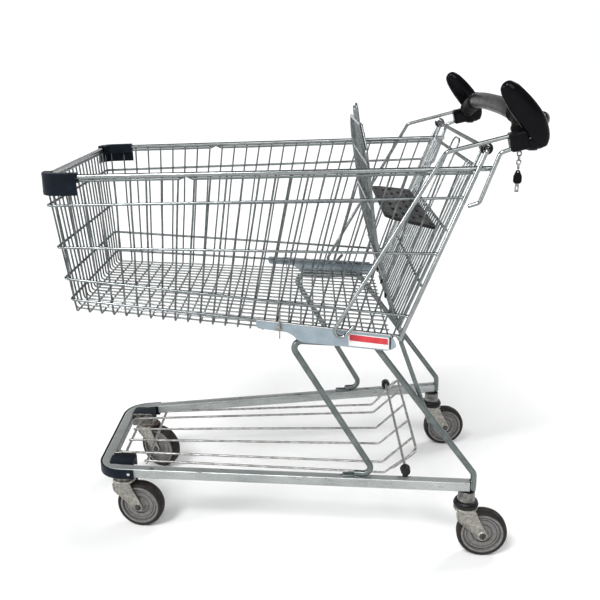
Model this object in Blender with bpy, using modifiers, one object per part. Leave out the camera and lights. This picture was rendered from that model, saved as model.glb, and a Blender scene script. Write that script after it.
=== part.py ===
"""Wire shopping cart on four swivel casters.

+X points to the handle (rear), -X to the nose, +Z up, and the floor is z = 0.  "Left" is the
-Y side.  Every sub-part is its own closed solid, in metres at its real size.
"""
import math

import bmesh
import bpy
from mathutils import Matrix, Vector

# ---------------------------------------------------------------- driving dimensions (metres)
GAP = 0.0003                  # clearance left between parts that touch
COLLECTION_NAME = "shopping_cart"
SIDES = (("left", -1), ("right", 1))
ALONG_Y = Matrix.Rotation(math.radians(90.0), 4, "X")  # turns an axis or outline from Z to Y

# Basket shell: every line runs straight from the nose to the rear.
BASKET_X = (-0.438, 0.210)    # ends of the basket floor
RIM_X = (-0.4640, 0.374)      # front bar and rear ends of the top rim
FLOOR_Z = (0.533, 0.4895)     # height of the floor at BASKET_X
RIM_Z = (0.8080, 0.8305)      # height of the rim at RIM_X
FLOOR_HALF = (0.2035, 0.2685)  # half width of the floor at BASKET_X
RIM_HALF = (0.2435, 0.2745)   # half width of the rim at RIM_X
RIM_RADIUS = 0.005
RIM_CORNER = 0.026            # bend radius of the rim's front corners
UPRIGHT_RADIUS = 0.0019       # thin wires of the basket
RING_RADIUS = 0.0027          # thick lengthwise wires of the basket
SIDE_WIRES = 26
FRONT_WIRES = 19
WELDED = UPRIGHT_RADIUS + RING_RADIUS - 0.0018  # offset of a ring wire fused to the uprights
CLEAR = UPRIGHT_RADIUS + RING_RADIUS + GAP      # offset of a ring wire that only passes them
RING_FRONT_Z = (0.7530, 0.6680, 0.6020, 0.5560)
RING_REAR_Z = (0.7770, 0.6700, 0.5450, 0.5030)
SIDE_TOP_X = (-0.4510, 0.314)  # top ends of the first and last side wire
SIDE_FOOT_X = (-0.433, 0.200)
GRID_INSET = 0.012            # outermost lengthwise wire, in from the basket's side

# Bumpers on the rim's front corners
BUMPER_WALL = 0.0024
BUMPER_HEIGHT = 0.039
BUMPER_SIDE_RUN = 0.072
BUMPER_FRONT_RUN = 0.044

# Side plates: outline as (x, z), and how far outside the floor's edge they stand
PLATE_OUTLINE = (
    (-0.0660, 0.5290), (0.1950, 0.5075), (0.2060, 0.4990), (0.2120, 0.4830), (0.2030, 0.4770),
    (0.1940, 0.4740), (0.0300, 0.4845), (0.0180, 0.4880), (0.0080, 0.4990), (-0.0050, 0.5055),
    (-0.0640, 0.5110),
)
PLATE_OUTWARDS = 0.0115
PLATE_THICKNESS = 0.0020

# Rear frame, hinge and gate
HINGE_X = 0.362
HINGE_Z = 0.867
REAR_FOOT_X = 0.2110
REAR_FOOT_Z = 0.4820
TUBE_FOOT_Z = 0.4965          # lower end of the leaning tubes
REAR_TUBE_RADIUS = 0.0044
REAR_TUBE_Y = (0.2785, 0.2865)  # foot and top
HINGE_ROD_RADIUS = 0.0040
CAP_Y = (0.2680, 0.2800)
CAP_RADIUS = 0.0115
GATE_WIRE_RADIUS = 0.0019
GATE_EDGE_RADIUS = 0.0029
GATE_BAR_S = 0.0385           # distances down the gate from its hinge axis
GATE_SEAT_S = 0.170
GATE_MIDDLE_S = 0.290
GATE_LOOP_S = 0.010           # top and half width of the raised middle loop
GATE_LOOP_HALF = 0.035
GATE_FOOT_S = 0.388
GATE_HALF = (0.2440, 0.2330)  # half width at the hinge and at the foot
GATE_WIRES = 21

# Child seat
BACK_PIVOT = (0.2215, 0.5080)
BACK_FOOT = (0.2155, 0.5170)  # lower wire ends, ahead of the pivot to clear the gate
BACK_KNEE = (0.1750, 0.6700)
BACK_TOP = (0.1410, 0.9000)
BACK_LOOP_TOP = 0.9300
BACK_CROSS_Z = (0.520, 0.600, 0.740, 0.826)
BACK_SHOULDER = (0.845, 0.125)  # height of the chamfer's foot and half width of the level top
BACK_HALF = 0.2030
BACK_WIRES = 17
BACK_WIRE_RADIUS = 0.0020
BACK_EDGE_RADIUS = 0.0030
SEAT_PIVOT = (0.2925, 0.7060)
SEAT_FRONT = (0.1960, 0.7220)
SEAT_HALF_REAR = 0.2250
SEAT_HALF_FRONT = 0.1750
SEAT_THICKNESS = 0.0060

# Chassis
RAIL_SIZE = 0.022
RAIL_FRONT_X = -0.419         # centre line of the front bar
RAIL_END_X = 0.3785
RAIL_TOP_Z = (0.1505, 0.1755)  # top of the tube at those two places
RAIL_HALF = (0.1575, 0.2570)
RAIL_CORNER = 0.046
LEG_RADIUS = 0.0065
LEG_TOP_Y = 0.2455            # half distance between the legs under the basket
LEG_KNEE_X = 0.1830
LEG_FOOT_X = 0.1180
LEG_BEND = 0.016
POST_X = 0.3858
POST_BEND = 0.018
BRACE_TOP = (0.2240, 0.4800)
BRACE_FOOT = (0.2890, 0.3050)
BRACE_WIDTH = 0.0090
BRACE_THICKNESS = 0.0020

# Lower tray
TRAY_Z = 0.1485
TRAY_WIRE_RADIUS = 0.0026
TRAY_ROD_RADIUS = 0.0030
TRAY_ROD_OFFSET = 0.0032      # a cross rod's axis, off the axes of the long wires
TRAY_HINGE_X = -0.3840
TRAY_BEND_X = 0.2060          # where the long wires turn up
TRAY_END = (0.2760, 0.2120)
TRAY_LONGS = (                # start x, then y at the start, at the bend and at the end
    (-0.3320, 0.1290, 0.1770, 0.1950),
    (-0.3890, 0.0280, 0.0410, 0.0440),
)
TRAY_NOSE = (-0.4010, 0.0870)
TRAY_LOOP_Y = 0.1300
STOP_X = 0.2460
STOP_Y = 0.2315
STOP_RADIUS = 0.0115

# Casters
WHEEL_RADIUS = 0.0535
WHEEL_WIDTH = 0.029
WHEEL_STEPS = 24
TYRE_DEPTH = 0.0080
TRAIL = 0.037
CROWN_TOP = 0.1150
CROWN_RADIUS = 0.0260
FORK_INSIDE = 0.0185          # from the wheel's middle plane to the fork leg
FORK_PLATE = 0.0030
CASTERS = (
    ("front_left", -0.3770, -0.1440, -10.0),
    ("front_right", -0.3770, 0.1440, -28.0),
    ("rear_left", 0.3740, -0.2530, -4.0),
    ("rear_right", 0.3740, 0.2530, 5.0),
)

# Rods outside the basket, as (x, y, z) of one side; the last point is just short of the handle block
ROD_RADIUS = 0.0040
ROD_HOOK = (
    (0.1270, 0.2850, 0.5270), (0.1050, 0.2850, 0.5000), (0.0860, 0.2850, 0.5140),
    (0.2860, 0.2930, 0.8620), (0.39325, 0.2930, 0.8920),
)
ROD_HOOK_BEND = 0.0125
ROD_SHORT = (
    (0.3335, 0.2855, 0.7625), (0.3530, 0.2870, 0.7690), (0.3835, 0.2930, 0.8610),
    (0.39875, 0.2930, 0.8680),
)
ROD_SHORT_BEND = 0.010

# Handle
BLOCK_CENTRE = (0.4140, 0.2910, 0.8825)
BLOCK_SIZE = (0.0325, 0.0280, 0.0345)
BLOCK_TILT = 13.0             # degrees, nose down
GRIP_RADIUS = 0.0180
GRIP_PATH = (                 # one half, from its end to near the middle
    (0.4240, 0.2570, 0.8990), (0.4290, 0.2470, 0.9080), (0.4325, 0.2250, 0.9170),
    (0.4330, 0.1900, 0.9240), (0.4300, 0.1400, 0.9285), (0.4290, 0.0700, 0.9310),
)
GRIP_MIDDLE = (0.4285, 0.0, 0.9315)
HORN_Y = 0.2930
HORN_FLATNESS = 0.72
HORN_SPINE = (                # x, y, z and radius from the heel to the tip
    (0.4540, 0.0, 0.8690, 0.0045), (0.4540, 0.0, 0.8730, 0.0110), (0.4538, 0.0, 0.8820, 0.0148),
    (0.4525, 0.0, 0.8930, 0.0162), (0.4470, 0.0, 0.9065, 0.0175), (0.4375, 0.0, 0.9200, 0.0198),
    (0.4255, 0.0, 0.9335, 0.0212), (0.4120, 0.0, 0.9480, 0.0208), (0.3998, 0.0, 0.9618, 0.0190),
    (0.3930, 0.0, 0.9695, 0.0172), (0.3888, 0.0, 0.9742, 0.0150), (0.3846, 0.0, 0.9790, 0.0120),
    (0.3822, 0.0, 0.9818, 0.0082), (0.3808, 0.0, 0.9834, 0.0034),
)
HORN_LOBE = (                 # same, from inside the horn towards the grip
    (0.4480, 0.0050, 0.9130, 0.0130), (0.4560, 0.0180, 0.9165, 0.0145),
    (0.4600, 0.0270, 0.9185, 0.0140), (0.4620, 0.0315, 0.9195, 0.0070),
)

# Coin key on its chain
CHAIN_TOP = (0.4180, -0.2910, 0.8651)
CHAIN_LINKS = 4
LINK_HALF = 0.0049            # half length of a link
LINK_WIRE = 0.0012
LINK_REACH = 0.0035           # half width of a link, to its wire's axis
KEY_THICKNESS = 0.0080
KEY_OUTLINE = (               # y and z below the chain, seen from the front
    (-0.0035, 0.0), (0.0035, 0.0), (0.0080, -0.0115), (0.0080, -0.0240), (0.0040, -0.0240),
    (0.0040, -0.0390), (-0.0040, -0.0390), (-0.0040, -0.0240), (-0.0080, -0.0240),
    (-0.0080, -0.0115),
)

STEEL = (0.62, 0.66, 0.68)
DARK_STEEL = (0.45, 0.49, 0.50)
BLACK = (0.015, 0.016, 0.020)
GREY_HUB = (0.30, 0.31, 0.33)


# ---------------------------------------------------------------- helpers: numbers and lines
def along(x, ends, values):
    """Value at x of the straight line through the two end values."""
    t = (x - ends[0]) / (ends[1] - ends[0])
    return values[0] + t * (values[1] - values[0])


def spread(ends, count):
    """Evenly spaced numbers between two ends, both included."""
    step = (ends[1] - ends[0]) / (count - 1)
    return [ends[0] + index * step for index in range(count)]


def floor_z(x):
    return along(x, BASKET_X, FLOOR_Z)


def rim_z(x):
    return along(x, RIM_X, RIM_Z)


def side_y(x, z):
    """Half width of the basket's ruled side at a place along it and a height."""
    low = along(x, BASKET_X, FLOOR_HALF)
    high = along(x, RIM_X, RIM_HALF)
    t = (z - floor_z(x)) / (rim_z(x) - floor_z(x))
    return low + t * (high - low)


def front_x(z):
    """Place of the leaning front grille at a height."""
    return along(z, (FLOOR_Z[0], RIM_Z[0]), (BASKET_X[0], RIM_X[0]))


def rear_x(z):
    """Place of the leaning rear plane at a height."""
    return along(z, (REAR_FOOT_Z, HINGE_Z), (REAR_FOOT_X, HINGE_X))


def rail_top(x):
    return along(x, (RAIL_FRONT_X, RAIL_END_X), RAIL_TOP_Z)


def rail_y(x):
    return along(x, (RAIL_FRONT_X, RAIL_END_X), RAIL_HALF)


def bent(points, radius, steps=4):
    """Polyline whose inner corners are replaced by arcs of one bend radius."""
    corners = [Vector(point) for point in points]
    path = [corners[0]]
    for before, corner, after in zip(corners, corners[1:], corners[2:]):
        into = (corner - before).normalized()
        out = (after - corner).normalized()
        turn = into.angle(out)
        if turn < 0.02:
            path.append(corner)
            continue
        reach = radius * math.tan(turn / 2)
        centre = corner + (out - into).normalized() * (radius / math.cos(turn / 2))
        start = corner - into * reach - centre
        axis = into.cross(out).normalized()
        for step in range(steps + 1):
            path.append(centre + Matrix.Rotation(turn * step / steps, 3, axis) @ start)
    path.append(corners[-1])
    return path


# ---------------------------------------------------------------- helpers: objects
def clear_scene():
    for item in list(bpy.data.objects):
        bpy.data.objects.remove(item, do_unlink=True)


def make_collection(name):
    collection = bpy.data.collections.new(name)
    bpy.context.scene.collection.children.link(collection)
    return collection


def make_material(name, colour, metallic, roughness):
    material = bpy.data.materials.new(name)
    material.use_nodes = True
    shader = material.node_tree.nodes["Principled BSDF"]
    shader.inputs["Base Color"].default_value = (*colour, 1.0)
    shader.inputs["Metallic"].default_value = metallic
    shader.inputs["Roughness"].default_value = roughness
    material.diffuse_color = (*colour, 1.0)
    return material


def place(name, data, look, collection):
    """Link a new object that carries its own material."""
    item = bpy.data.objects.new(name, data)
    colour, metallic, roughness = look
    data.materials.clear()
    data.materials.append(make_material(name, colour, metallic, roughness))
    collection.objects.link(item)
    return item


def curve_data(paths, radius, resolution):
    """Round tubes, or four-sided wires at resolution 0, along polylines."""
    data = bpy.data.curves.new("tube", "CURVE")
    data.dimensions = "3D"
    data.bevel_depth = radius
    data.bevel_resolution = resolution
    data.use_fill_caps = True
    for path in paths:
        spline = data.splines.new("POLY")
        spline.points.add(len(path) - 1)
        for point, place_of in zip(spline.points, path):
            point.co = (*place_of, 1.0)
    return data


def outline_data(outlines, thickness):
    """Flat plate from closed outlines in the XY plane, holes included."""
    data = bpy.data.curves.new("outline", "CURVE")
    data.dimensions = "2D"
    data.fill_mode = "BOTH"
    data.extrude = thickness / 2
    for outline in outlines:
        spline = data.splines.new("POLY")
        spline.points.add(len(outline) - 1)
        for point, place_of in zip(spline.points, outline):
            point.co = (place_of[0], place_of[1], 0.0, 1.0)
        spline.use_cyclic_u = True
    return data


def solid_from(data, matrix=None):
    """Closed mesh of a curve, its caps welded, moved by a matrix."""
    carrier = bpy.data.objects.new("carrier", data)
    bpy.context.scene.collection.objects.link(carrier)
    graph = bpy.context.evaluated_depsgraph_get()
    mesh = bpy.data.meshes.new_from_object(carrier.evaluated_get(graph))
    bpy.data.objects.remove(carrier, do_unlink=True)
    work = bmesh.new()
    work.from_mesh(mesh)
    bmesh.ops.remove_doubles(work, verts=work.verts, dist=1e-6)
    bmesh.ops.recalc_face_normals(work, faces=work.faces)
    if matrix is not None:
        work.transform(matrix)
    work.to_mesh(mesh)
    work.free()
    return mesh


def tube_mesh(path, radius, resolution=2):
    return solid_from(curve_data([path], radius, resolution))


def wires_mesh(paths, radius):
    return solid_from(curve_data(paths, radius, 0))


def swept_mesh(spine, resolution):
    """Tube along places (x, y, z) whose radius changes from place to place."""
    widest = max(radius for _, _, _, radius in spine)
    data = curve_data([[(x, y, z) for x, y, z, _ in spine]], widest, resolution)
    for point, (_, _, _, radius) in zip(data.splines[0].points, spine):
        point.radius = radius / widest
    return solid_from(data)


def turned_mesh(profile, steps):
    """Solid of revolution about Z: the profile runs down its outer side, axis to axis."""
    mesh = bpy.data.meshes.new("profile")
    work = bmesh.new()
    corners = [work.verts.new((radius, 0.0, height)) for radius, height in profile]
    for first, second in zip(corners, corners[1:]):
        work.edges.new((first, second))
    work.to_mesh(mesh)
    work.free()
    carrier = bpy.data.objects.new("turned", mesh)
    bpy.context.scene.collection.objects.link(carrier)
    screw = carrier.modifiers.new("Screw", "SCREW")
    screw.steps = steps
    screw.render_steps = steps
    screw.use_merge_vertices = True
    screw.merge_threshold = 1e-5
    graph = bpy.context.evaluated_depsgraph_get()
    result = bpy.data.meshes.new_from_object(carrier.evaluated_get(graph))
    bpy.data.objects.remove(carrier, do_unlink=True)
    work = bmesh.new()
    work.from_mesh(result)
    bmesh.ops.remove_doubles(work, verts=work.verts, dist=1e-6)
    bmesh.ops.recalc_face_normals(work, faces=work.faces)
    work.to_mesh(result)
    work.free()
    return result


def ring_profile(outer, inner, half_width):
    """Closed rectangular ring section, as a loop that ends where it starts."""
    return [
        (outer, half_width),
        (outer, -half_width),
        (inner, -half_width),
        (inner, half_width),
        (outer, half_width),
    ]


def disc_mesh(radius, depth, segments, matrix=None):
    mesh = bpy.data.meshes.new("disc")
    work = bmesh.new()
    bmesh.ops.create_cone(
        work, cap_ends=True, segments=segments, radius1=radius, radius2=radius, depth=depth
    )
    if matrix is not None:
        work.transform(matrix)
    work.to_mesh(mesh)
    work.free()
    return mesh


def box_mesh(size, centre, rotation=None):
    mesh = bpy.data.meshes.new("box")
    work = bmesh.new()
    bmesh.ops.create_cube(work, size=1.0)
    work.transform(Matrix.Diagonal((*size, 1.0)))
    if rotation is not None:
        work.transform(rotation)
    work.transform(Matrix.Translation(centre))
    work.to_mesh(mesh)
    work.free()
    return mesh


def combine(base, tools, operation):
    """Boolean of a mesh with others, one at a time, by the exact solver."""
    carrier = bpy.data.objects.new("base", base)
    CUTTERS.objects.link(carrier)
    helpers = []
    for mesh in tools:
        helper = bpy.data.objects.new("cutter", mesh)
        helper.hide_render = True
        helper.display_type = "WIRE"
        CUTTERS.objects.link(helper)
        helpers.append(helper)
        boolean = carrier.modifiers.new("Boolean", "BOOLEAN")
        boolean.operation = operation
        boolean.solver = "EXACT"
        boolean.object = helper
    graph = bpy.context.evaluated_depsgraph_get()
    result = bpy.data.meshes.new_from_object(carrier.evaluated_get(graph))
    for item in (carrier, *helpers):
        bpy.data.objects.remove(item, do_unlink=True)
    return result


def smooth(mesh, angle=40.0):
    mesh.shade_smooth()
    mesh.set_sharp_from_angle(angle=math.radians(angle))
    return mesh


def on_axis(item, mesh, origin, parent=None):
    """Move a mesh made in cart coordinates so that its object's origin is at a point."""
    mesh.transform(Matrix.Translation(-Vector(origin)))
    item.location = Vector(origin)
    if parent is not None:
        item.parent = parent
        item.location = Vector(origin) - parent.matrix_world.translation
    return item


def make_empty(name, location, parent=None, turn=0.0):
    empty = bpy.data.objects.new(name, None)
    CART.objects.link(empty)
    empty.location = location
    empty.rotation_euler = (0.0, 0.0, turn)
    empty.parent = parent
    bpy.context.view_layer.update()
    return empty


ZINC = (STEEL, 1.0, 0.30)
ZINC_DARK = (DARK_STEEL, 1.0, 0.38)
GLOSS = (BLACK, 0.0, 0.18)
MATT = (BLACK, 0.0, 0.55)
RUBBER = (BLACK, 0.0, 0.80)
HUB = (GREY_HUB, 0.0, 0.50)


# ---------------------------------------------------------------- basket
def side_point(x, z, sign, outwards=0.0):
    return Vector((x, sign * (side_y(x, z) + outwards), z))


def side_rings(sign):
    """Lengthwise wires of one side: one under the rim and four below it."""
    under_rim = RIM_RADIUS + RING_RADIUS + GAP
    paths = []
    start_x = RIM_X[0] + 0.0110
    end_x = rear_x(rim_z(RIM_X[1])) - 0.004
    paths.append([
        side_point(start_x, rim_z(start_x) - under_rim, sign),
        side_point(end_x, rim_z(end_x) - under_rim, sign),
    ])
    for front_height, rear_height in zip(RING_FRONT_Z, RING_REAR_Z):
        outwards = WELDED if front_height == RING_FRONT_Z[-1] else CLEAR
        start_x = front_x(front_height) + 0.0015
        end_x = rear_x(rear_height) - 0.0056
        paths.append([
            side_point(start_x, front_height, sign, outwards),
            side_point(end_x, rear_height, sign, outwards),
        ])
    return paths


def side_uprights(sign):
    """Upright wires of one side; the end ones stand out to meet every ring wire."""
    paths = []
    feet = spread(SIDE_FOOT_X, SIDE_WIRES)
    tops = spread(SIDE_TOP_X, SIDE_WIRES)
    for foot_x, top_x in zip(feet, tops):
        outwards = UPRIGHT_RADIUS if foot_x in (feet[0], feet[-1]) else 0.0
        foot_z = floor_z(foot_x) + 2 * UPRIGHT_RADIUS + 0.001
        top_z = rim_z(top_x) - RIM_RADIUS - RING_RADIUS
        paths.append([
            side_point(foot_x, foot_z, sign, outwards),
            side_point(top_x, top_z, sign, outwards),
        ])
    return paths


def build_basket():
    for name, sign in SIDES:
        uprights = wires_mesh(side_uprights(sign), UPRIGHT_RADIUS)
        rings = wires_mesh(side_rings(sign), RING_RADIUS)
        place(f"basket_{name}_grid", combine(uprights, [rings], "UNION"), ZINC, CART)
    build_front_grid()
    build_floor_grid()
    build_rim()


def build_front_grid():
    """Upright wires of the nose with the front runs of the ring wires."""
    foot_z = FLOOR_Z[0] + 2 * UPRIGHT_RADIUS + 0.001
    top_z = RIM_Z[0] - RIM_RADIUS - RING_RADIUS
    uprights = []
    feet = spread((GRID_INSET - FLOOR_HALF[0], FLOOR_HALF[0] - GRID_INSET), FRONT_WIRES)
    tops = spread((GRID_INSET - RIM_HALF[0], RIM_HALF[0] - GRID_INSET), FRONT_WIRES)
    for foot_y, top_y in zip(feet, tops):
        shift = UPRIGHT_RADIUS if foot_y in (feet[0], feet[-1]) else 0.0
        uprights.append([
            (front_x(foot_z) - shift, foot_y, foot_z),
            (front_x(top_z) - shift, top_y, top_z),
        ])
    rings = []
    under_rim = RIM_Z[0] - RIM_RADIUS - RING_RADIUS - GAP
    for height in (under_rim, *RING_FRONT_Z):
        outwards = WELDED if height == RING_FRONT_Z[-1] else CLEAR
        if height == under_rim:
            outwards = 0.0
        ring_x = front_x(height) - outwards
        half = side_y(front_x(height), height) - 0.0085
        rings.append([(ring_x, -half, height), (ring_x, half, height)])
    base = wires_mesh(uprights, UPRIGHT_RADIUS)
    mesh = combine(base, [wires_mesh(rings, RING_RADIUS)], "UNION")
    place("basket_front_grid", mesh, ZINC, CART)


def build_floor_grid():
    """Lengthwise wires over cross wires; only the outer ones are welded to both."""
    cross_xs = spread(SIDE_FOOT_X, SIDE_WIRES)
    last = len(cross_xs) - 1
    drop = 2 * UPRIGHT_RADIUS + GAP
    cross = []
    for index, x in enumerate(cross_xs):
        welded = index in (0, last)
        z = floor_z(x) - (UPRIGHT_RADIUS if welded else drop)
        half = side_y(x, z) - 0.004
        cross.append([(x, -half, z), (x, half, z)])
    fronts = spread((GRID_INSET - FLOOR_HALF[0], FLOOR_HALF[0] - GRID_INSET), FRONT_WIRES)
    rears = spread((GRID_INSET - FLOOR_HALF[1], FLOOR_HALF[1] - GRID_INSET), FRONT_WIRES)
    lengthwise = []
    for index, (front_y, rear_y) in enumerate(zip(fronts, rears)):
        lower = UPRIGHT_RADIUS if index in (0, FRONT_WIRES - 1) else 0.0
        start_x = cross_xs[0] - 0.003
        end_x = cross_xs[-1] + 0.004
        lengthwise.append([
            (start_x, front_y, floor_z(start_x) - lower),
            (end_x, rear_y, floor_z(end_x) - lower),
        ])
    base = wires_mesh(lengthwise, UPRIGHT_RADIUS)
    mesh = combine(base, [wires_mesh(cross, UPRIGHT_RADIUS)], "UNION")
    place("basket_floor_grid", mesh, ZINC, CART)


def build_rim():
    """Round tube round the nose and along both sides."""
    corners = []
    for x, sign in ((RIM_X[1], -1), (RIM_X[0], -1), (RIM_X[0], 1), (RIM_X[1], 1)):
        half = along(x, RIM_X, RIM_HALF)
        corners.append((x, sign * half, rim_z(x)))
    mesh = tube_mesh(bent(corners, RIM_CORNER, 5), RIM_RADIUS)
    place("top_rim", smooth(mesh), ZINC, CART)


def build_bumpers():
    """Plastic shells that wrap the rim's front corners, open inside and below."""
    clearance = RIM_RADIUS + 0.0018
    slope = math.atan((RIM_HALF[1] - RIM_HALF[0]) / (RIM_X[1] - RIM_X[0]))
    for name, sign in SIDES:
        corner = Vector((RIM_X[0] - clearance, RIM_HALF[0] + clearance, 0.0))
        run = Vector((math.cos(slope), math.sin(slope), 0.0))
        aside = Vector((-math.sin(slope), math.cos(slope), 0.0))
        side_end = corner + run * BUMPER_SIDE_RUN
        front_end = corner - Vector((0.0, BUMPER_FRONT_RUN, 0.0))
        inner = bent([front_end, corner, side_end], RIM_CORNER + clearance, 5)
        out = corner + Vector((-BUMPER_WALL, BUMPER_WALL, 0.0))
        side_out = side_end + aside * BUMPER_WALL
        front_out = front_end + Vector((-BUMPER_WALL, 0.0, 0.0))
        outer = bent([front_out, out, side_out], RIM_CORNER + clearance + BUMPER_WALL, 5)
        skirt = [(point.x, sign * point.y) for point in outer + inner[::-1]]
        lid_side = side_end - aside * 2 * clearance
        lid_front = front_end + Vector((2 * clearance, 0.0, 0.0))
        lid_corner = corner + Vector((2 * clearance, -2 * clearance, 0.0))
        lid_inner = bent([lid_front, lid_corner, lid_side], RIM_CORNER - clearance, 5)
        lid = [(point.x, sign * point.y) for point in outer + lid_inner[::-1]]
        top = RIM_Z[0] + RIM_RADIUS + GAP
        lid_z = top + BUMPER_WALL / 2
        skirt_z = lid_z - BUMPER_HEIGHT / 2
        skirt_mesh = solid_from(
            outline_data([skirt], BUMPER_HEIGHT), Matrix.Translation((0.0, 0.0, skirt_z))
        )
        lid_mesh = solid_from(
            outline_data([lid], BUMPER_WALL), Matrix.Translation((0.0, 0.0, lid_z))
        )
        mesh = combine(skirt_mesh, [lid_mesh], "UNION")
        pitch = math.atan((RIM_Z[1] - RIM_Z[0]) / (RIM_X[1] - RIM_X[0]))
        pivot = Vector((RIM_X[0], 0.0, RIM_Z[0]))
        tilt = Matrix.Translation(pivot) @ Matrix.Rotation(-pitch, 4, "Y")
        mesh.transform(tilt @ Matrix.Translation(-pivot))
        place(f"corner_bumper_{name}", smooth(mesh, 30.0), MATT, CART)


# ---------------------------------------------------------------- side plates and rods
def plate_y(x):
    """Middle of the side plate, just outside the basket's lowest ring wire."""
    return along(x, BASKET_X, FLOOR_HALF) + PLATE_OUTWARDS


def build_side_plates():
    """Sheet steel plates along the rear half of the basket's lower edge."""
    yaw = math.atan((FLOOR_HALF[1] - FLOOR_HALF[0]) / (BASKET_X[1] - BASKET_X[0]))
    origin_x = PLATE_OUTLINE[0][0]
    outline = [((x - origin_x) / math.cos(yaw), z) for x, z in PLATE_OUTLINE]
    for name, sign in SIDES:
        turn = Matrix.Rotation(sign * yaw, 4, "Z")
        move = Matrix.Translation((origin_x, sign * plate_y(origin_x), 0.0))
        mesh = solid_from(outline_data([outline], PLATE_THICKNESS), move @ turn @ ALONG_Y)
        place(f"side_plate_{name}", mesh, ZINC, CART)


def build_rods():
    """Outer support rods: a long hooked one and a short one behind it, on each side."""
    for name, sign in SIDES:
        hook = [(x, sign * y, z) for x, y, z in ROD_HOOK]
        mesh = tube_mesh(bent(hook, ROD_HOOK_BEND, 4), ROD_RADIUS, 1)
        place(f"support_rod_{name}", smooth(mesh), ZINC, CART)
        short = [(x, sign * y, z) for x, y, z in ROD_SHORT]
        mesh = tube_mesh(bent(short, ROD_SHORT_BEND, 4), ROD_RADIUS, 1)
        place(f"rear_rod_{name}", smooth(mesh), ZINC, CART)


def build_rear_frame():
    """Leaning rear tubes, the hinge rod between them and its plastic caps."""
    for name, sign in SIDES:
        foot = (rear_x(TUBE_FOOT_Z), sign * REAR_TUBE_Y[0], TUBE_FOOT_Z)
        top = (HINGE_X, sign * REAR_TUBE_Y[1], HINGE_Z)
        mesh = tube_mesh([foot, top], REAR_TUBE_RADIUS)
        place(f"rear_tube_{name}", smooth(mesh), ZINC, CART)
        middle = (CAP_Y[0] + CAP_Y[1]) / 2
        move = Matrix.Translation((HINGE_X, sign * middle, HINGE_Z))
        cap = disc_mesh(CAP_RADIUS, CAP_Y[1] - CAP_Y[0], 16, move @ ALONG_Y)
        place(f"hinge_cap_{name}", smooth(cap), MATT, CART)
    half = CAP_Y[0] - GAP
    rod = tube_mesh([(HINGE_X, -half, HINGE_Z), (HINGE_X, half, HINGE_Z)], HINGE_ROD_RADIUS)
    place("gate_hinge_rod", smooth(rod), ZINC_DARK, CART)


# ---------------------------------------------------------------- gate and child seat
def gate_point(s, y, forward=0.0):
    """Point on the gate at a distance down from its hinge axis."""
    lean = math.atan2(HINGE_X - REAR_FOOT_X, HINGE_Z - REAR_FOOT_Z)
    return Vector((
        HINGE_X - s * math.sin(lean) - forward * math.cos(lean),
        y,
        HINGE_Z - s * math.cos(lean) + forward * math.sin(lean),
    ))


def eyelet(centre, y, bore, width):
    """Ring round a hinge wire along Y."""
    mesh = turned_mesh(ring_profile(bore + 0.0035, bore, width / 2), 12)
    mesh.transform(Matrix.Translation((centre[0], y, centre[1])) @ ALONG_Y)
    return mesh


def gate_half(s):
    return along(s, (0.0, GATE_FOOT_S), GATE_HALF)


def build_gate():
    """Hinged rear gate: edge wires, cross wires, close upright wires and a middle loop."""
    bore = HINGE_ROD_RADIUS + 0.0008
    uprights = []
    for part in spread((-0.955, 0.955), GATE_WIRES):
        top_s = GATE_SEAT_S - 0.004 if abs(part) < 0.60 else GATE_BAR_S - 0.003
        path = [
            gate_point(top_s, part * gate_half(top_s)),
            gate_point(GATE_FOOT_S + 0.004, part * gate_half(GATE_FOOT_S)),
        ]
        uprights.append(path)
    loop = []
    foot_s = GATE_SEAT_S + 0.004
    for s, sign in ((foot_s, -1), (GATE_LOOP_S, -1), (GATE_LOOP_S, 1), (foot_s, 1)):
        loop.append(gate_point(s, sign * GATE_LOOP_HALF))
    uprights.append(bent(loop, 0.010, 3))
    base = wires_mesh(uprights, GATE_WIRE_RADIUS)
    welded = GATE_WIRE_RADIUS + GATE_EDGE_RADIUS - 0.0020
    clear = GATE_WIRE_RADIUS + GATE_EDGE_RADIUS + GAP
    crosses = []
    for s in (GATE_BAR_S, GATE_SEAT_S, GATE_MIDDLE_S, GATE_FOOT_S):
        half = gate_half(s) + 0.001
        behind = clear if s == GATE_MIDDLE_S else welded
        crosses.append([gate_point(s, -half, -behind), gate_point(s, half, -behind)])
    cross_mesh = wires_mesh(crosses, GATE_EDGE_RADIUS)
    edges = []
    tools = [cross_mesh]
    for sign in (-1, 1):
        edges.append([
            gate_point(bore + 0.0015, sign * gate_half(0.0)),
            gate_point(GATE_FOOT_S + 0.005, sign * gate_half(GATE_FOOT_S)),
        ])
        tools.append(eyelet((HINGE_X, HINGE_Z), sign * gate_half(0.0), bore, 0.006))
    tools.insert(1, wires_mesh(edges, GATE_EDGE_RADIUS))
    mesh = combine(base, tools, "UNION")
    gate = place("gate_grid", mesh, ZINC, CART)
    return on_axis(gate, mesh, (HINGE_X, 0.0, HINGE_Z))


def back_profile(top_z):
    """Side view of the seat back, from its foot up to a height."""
    if top_z <= BACK_KNEE[1]:
        return [BACK_FOOT, BACK_KNEE]
    top_x = along(top_z, (BACK_KNEE[1], BACK_TOP[1]), (BACK_KNEE[0], BACK_TOP[0]))
    return [BACK_FOOT, BACK_KNEE, (top_x, top_z)]


def back_top(y):
    """Height of the seat back's top edge, which is chamfered towards its sides."""
    low, level = BACK_SHOULDER
    if abs(y) <= level:
        return BACK_TOP[1]
    return along(abs(y), (level, BACK_HALF), (BACK_TOP[1], low))


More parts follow.
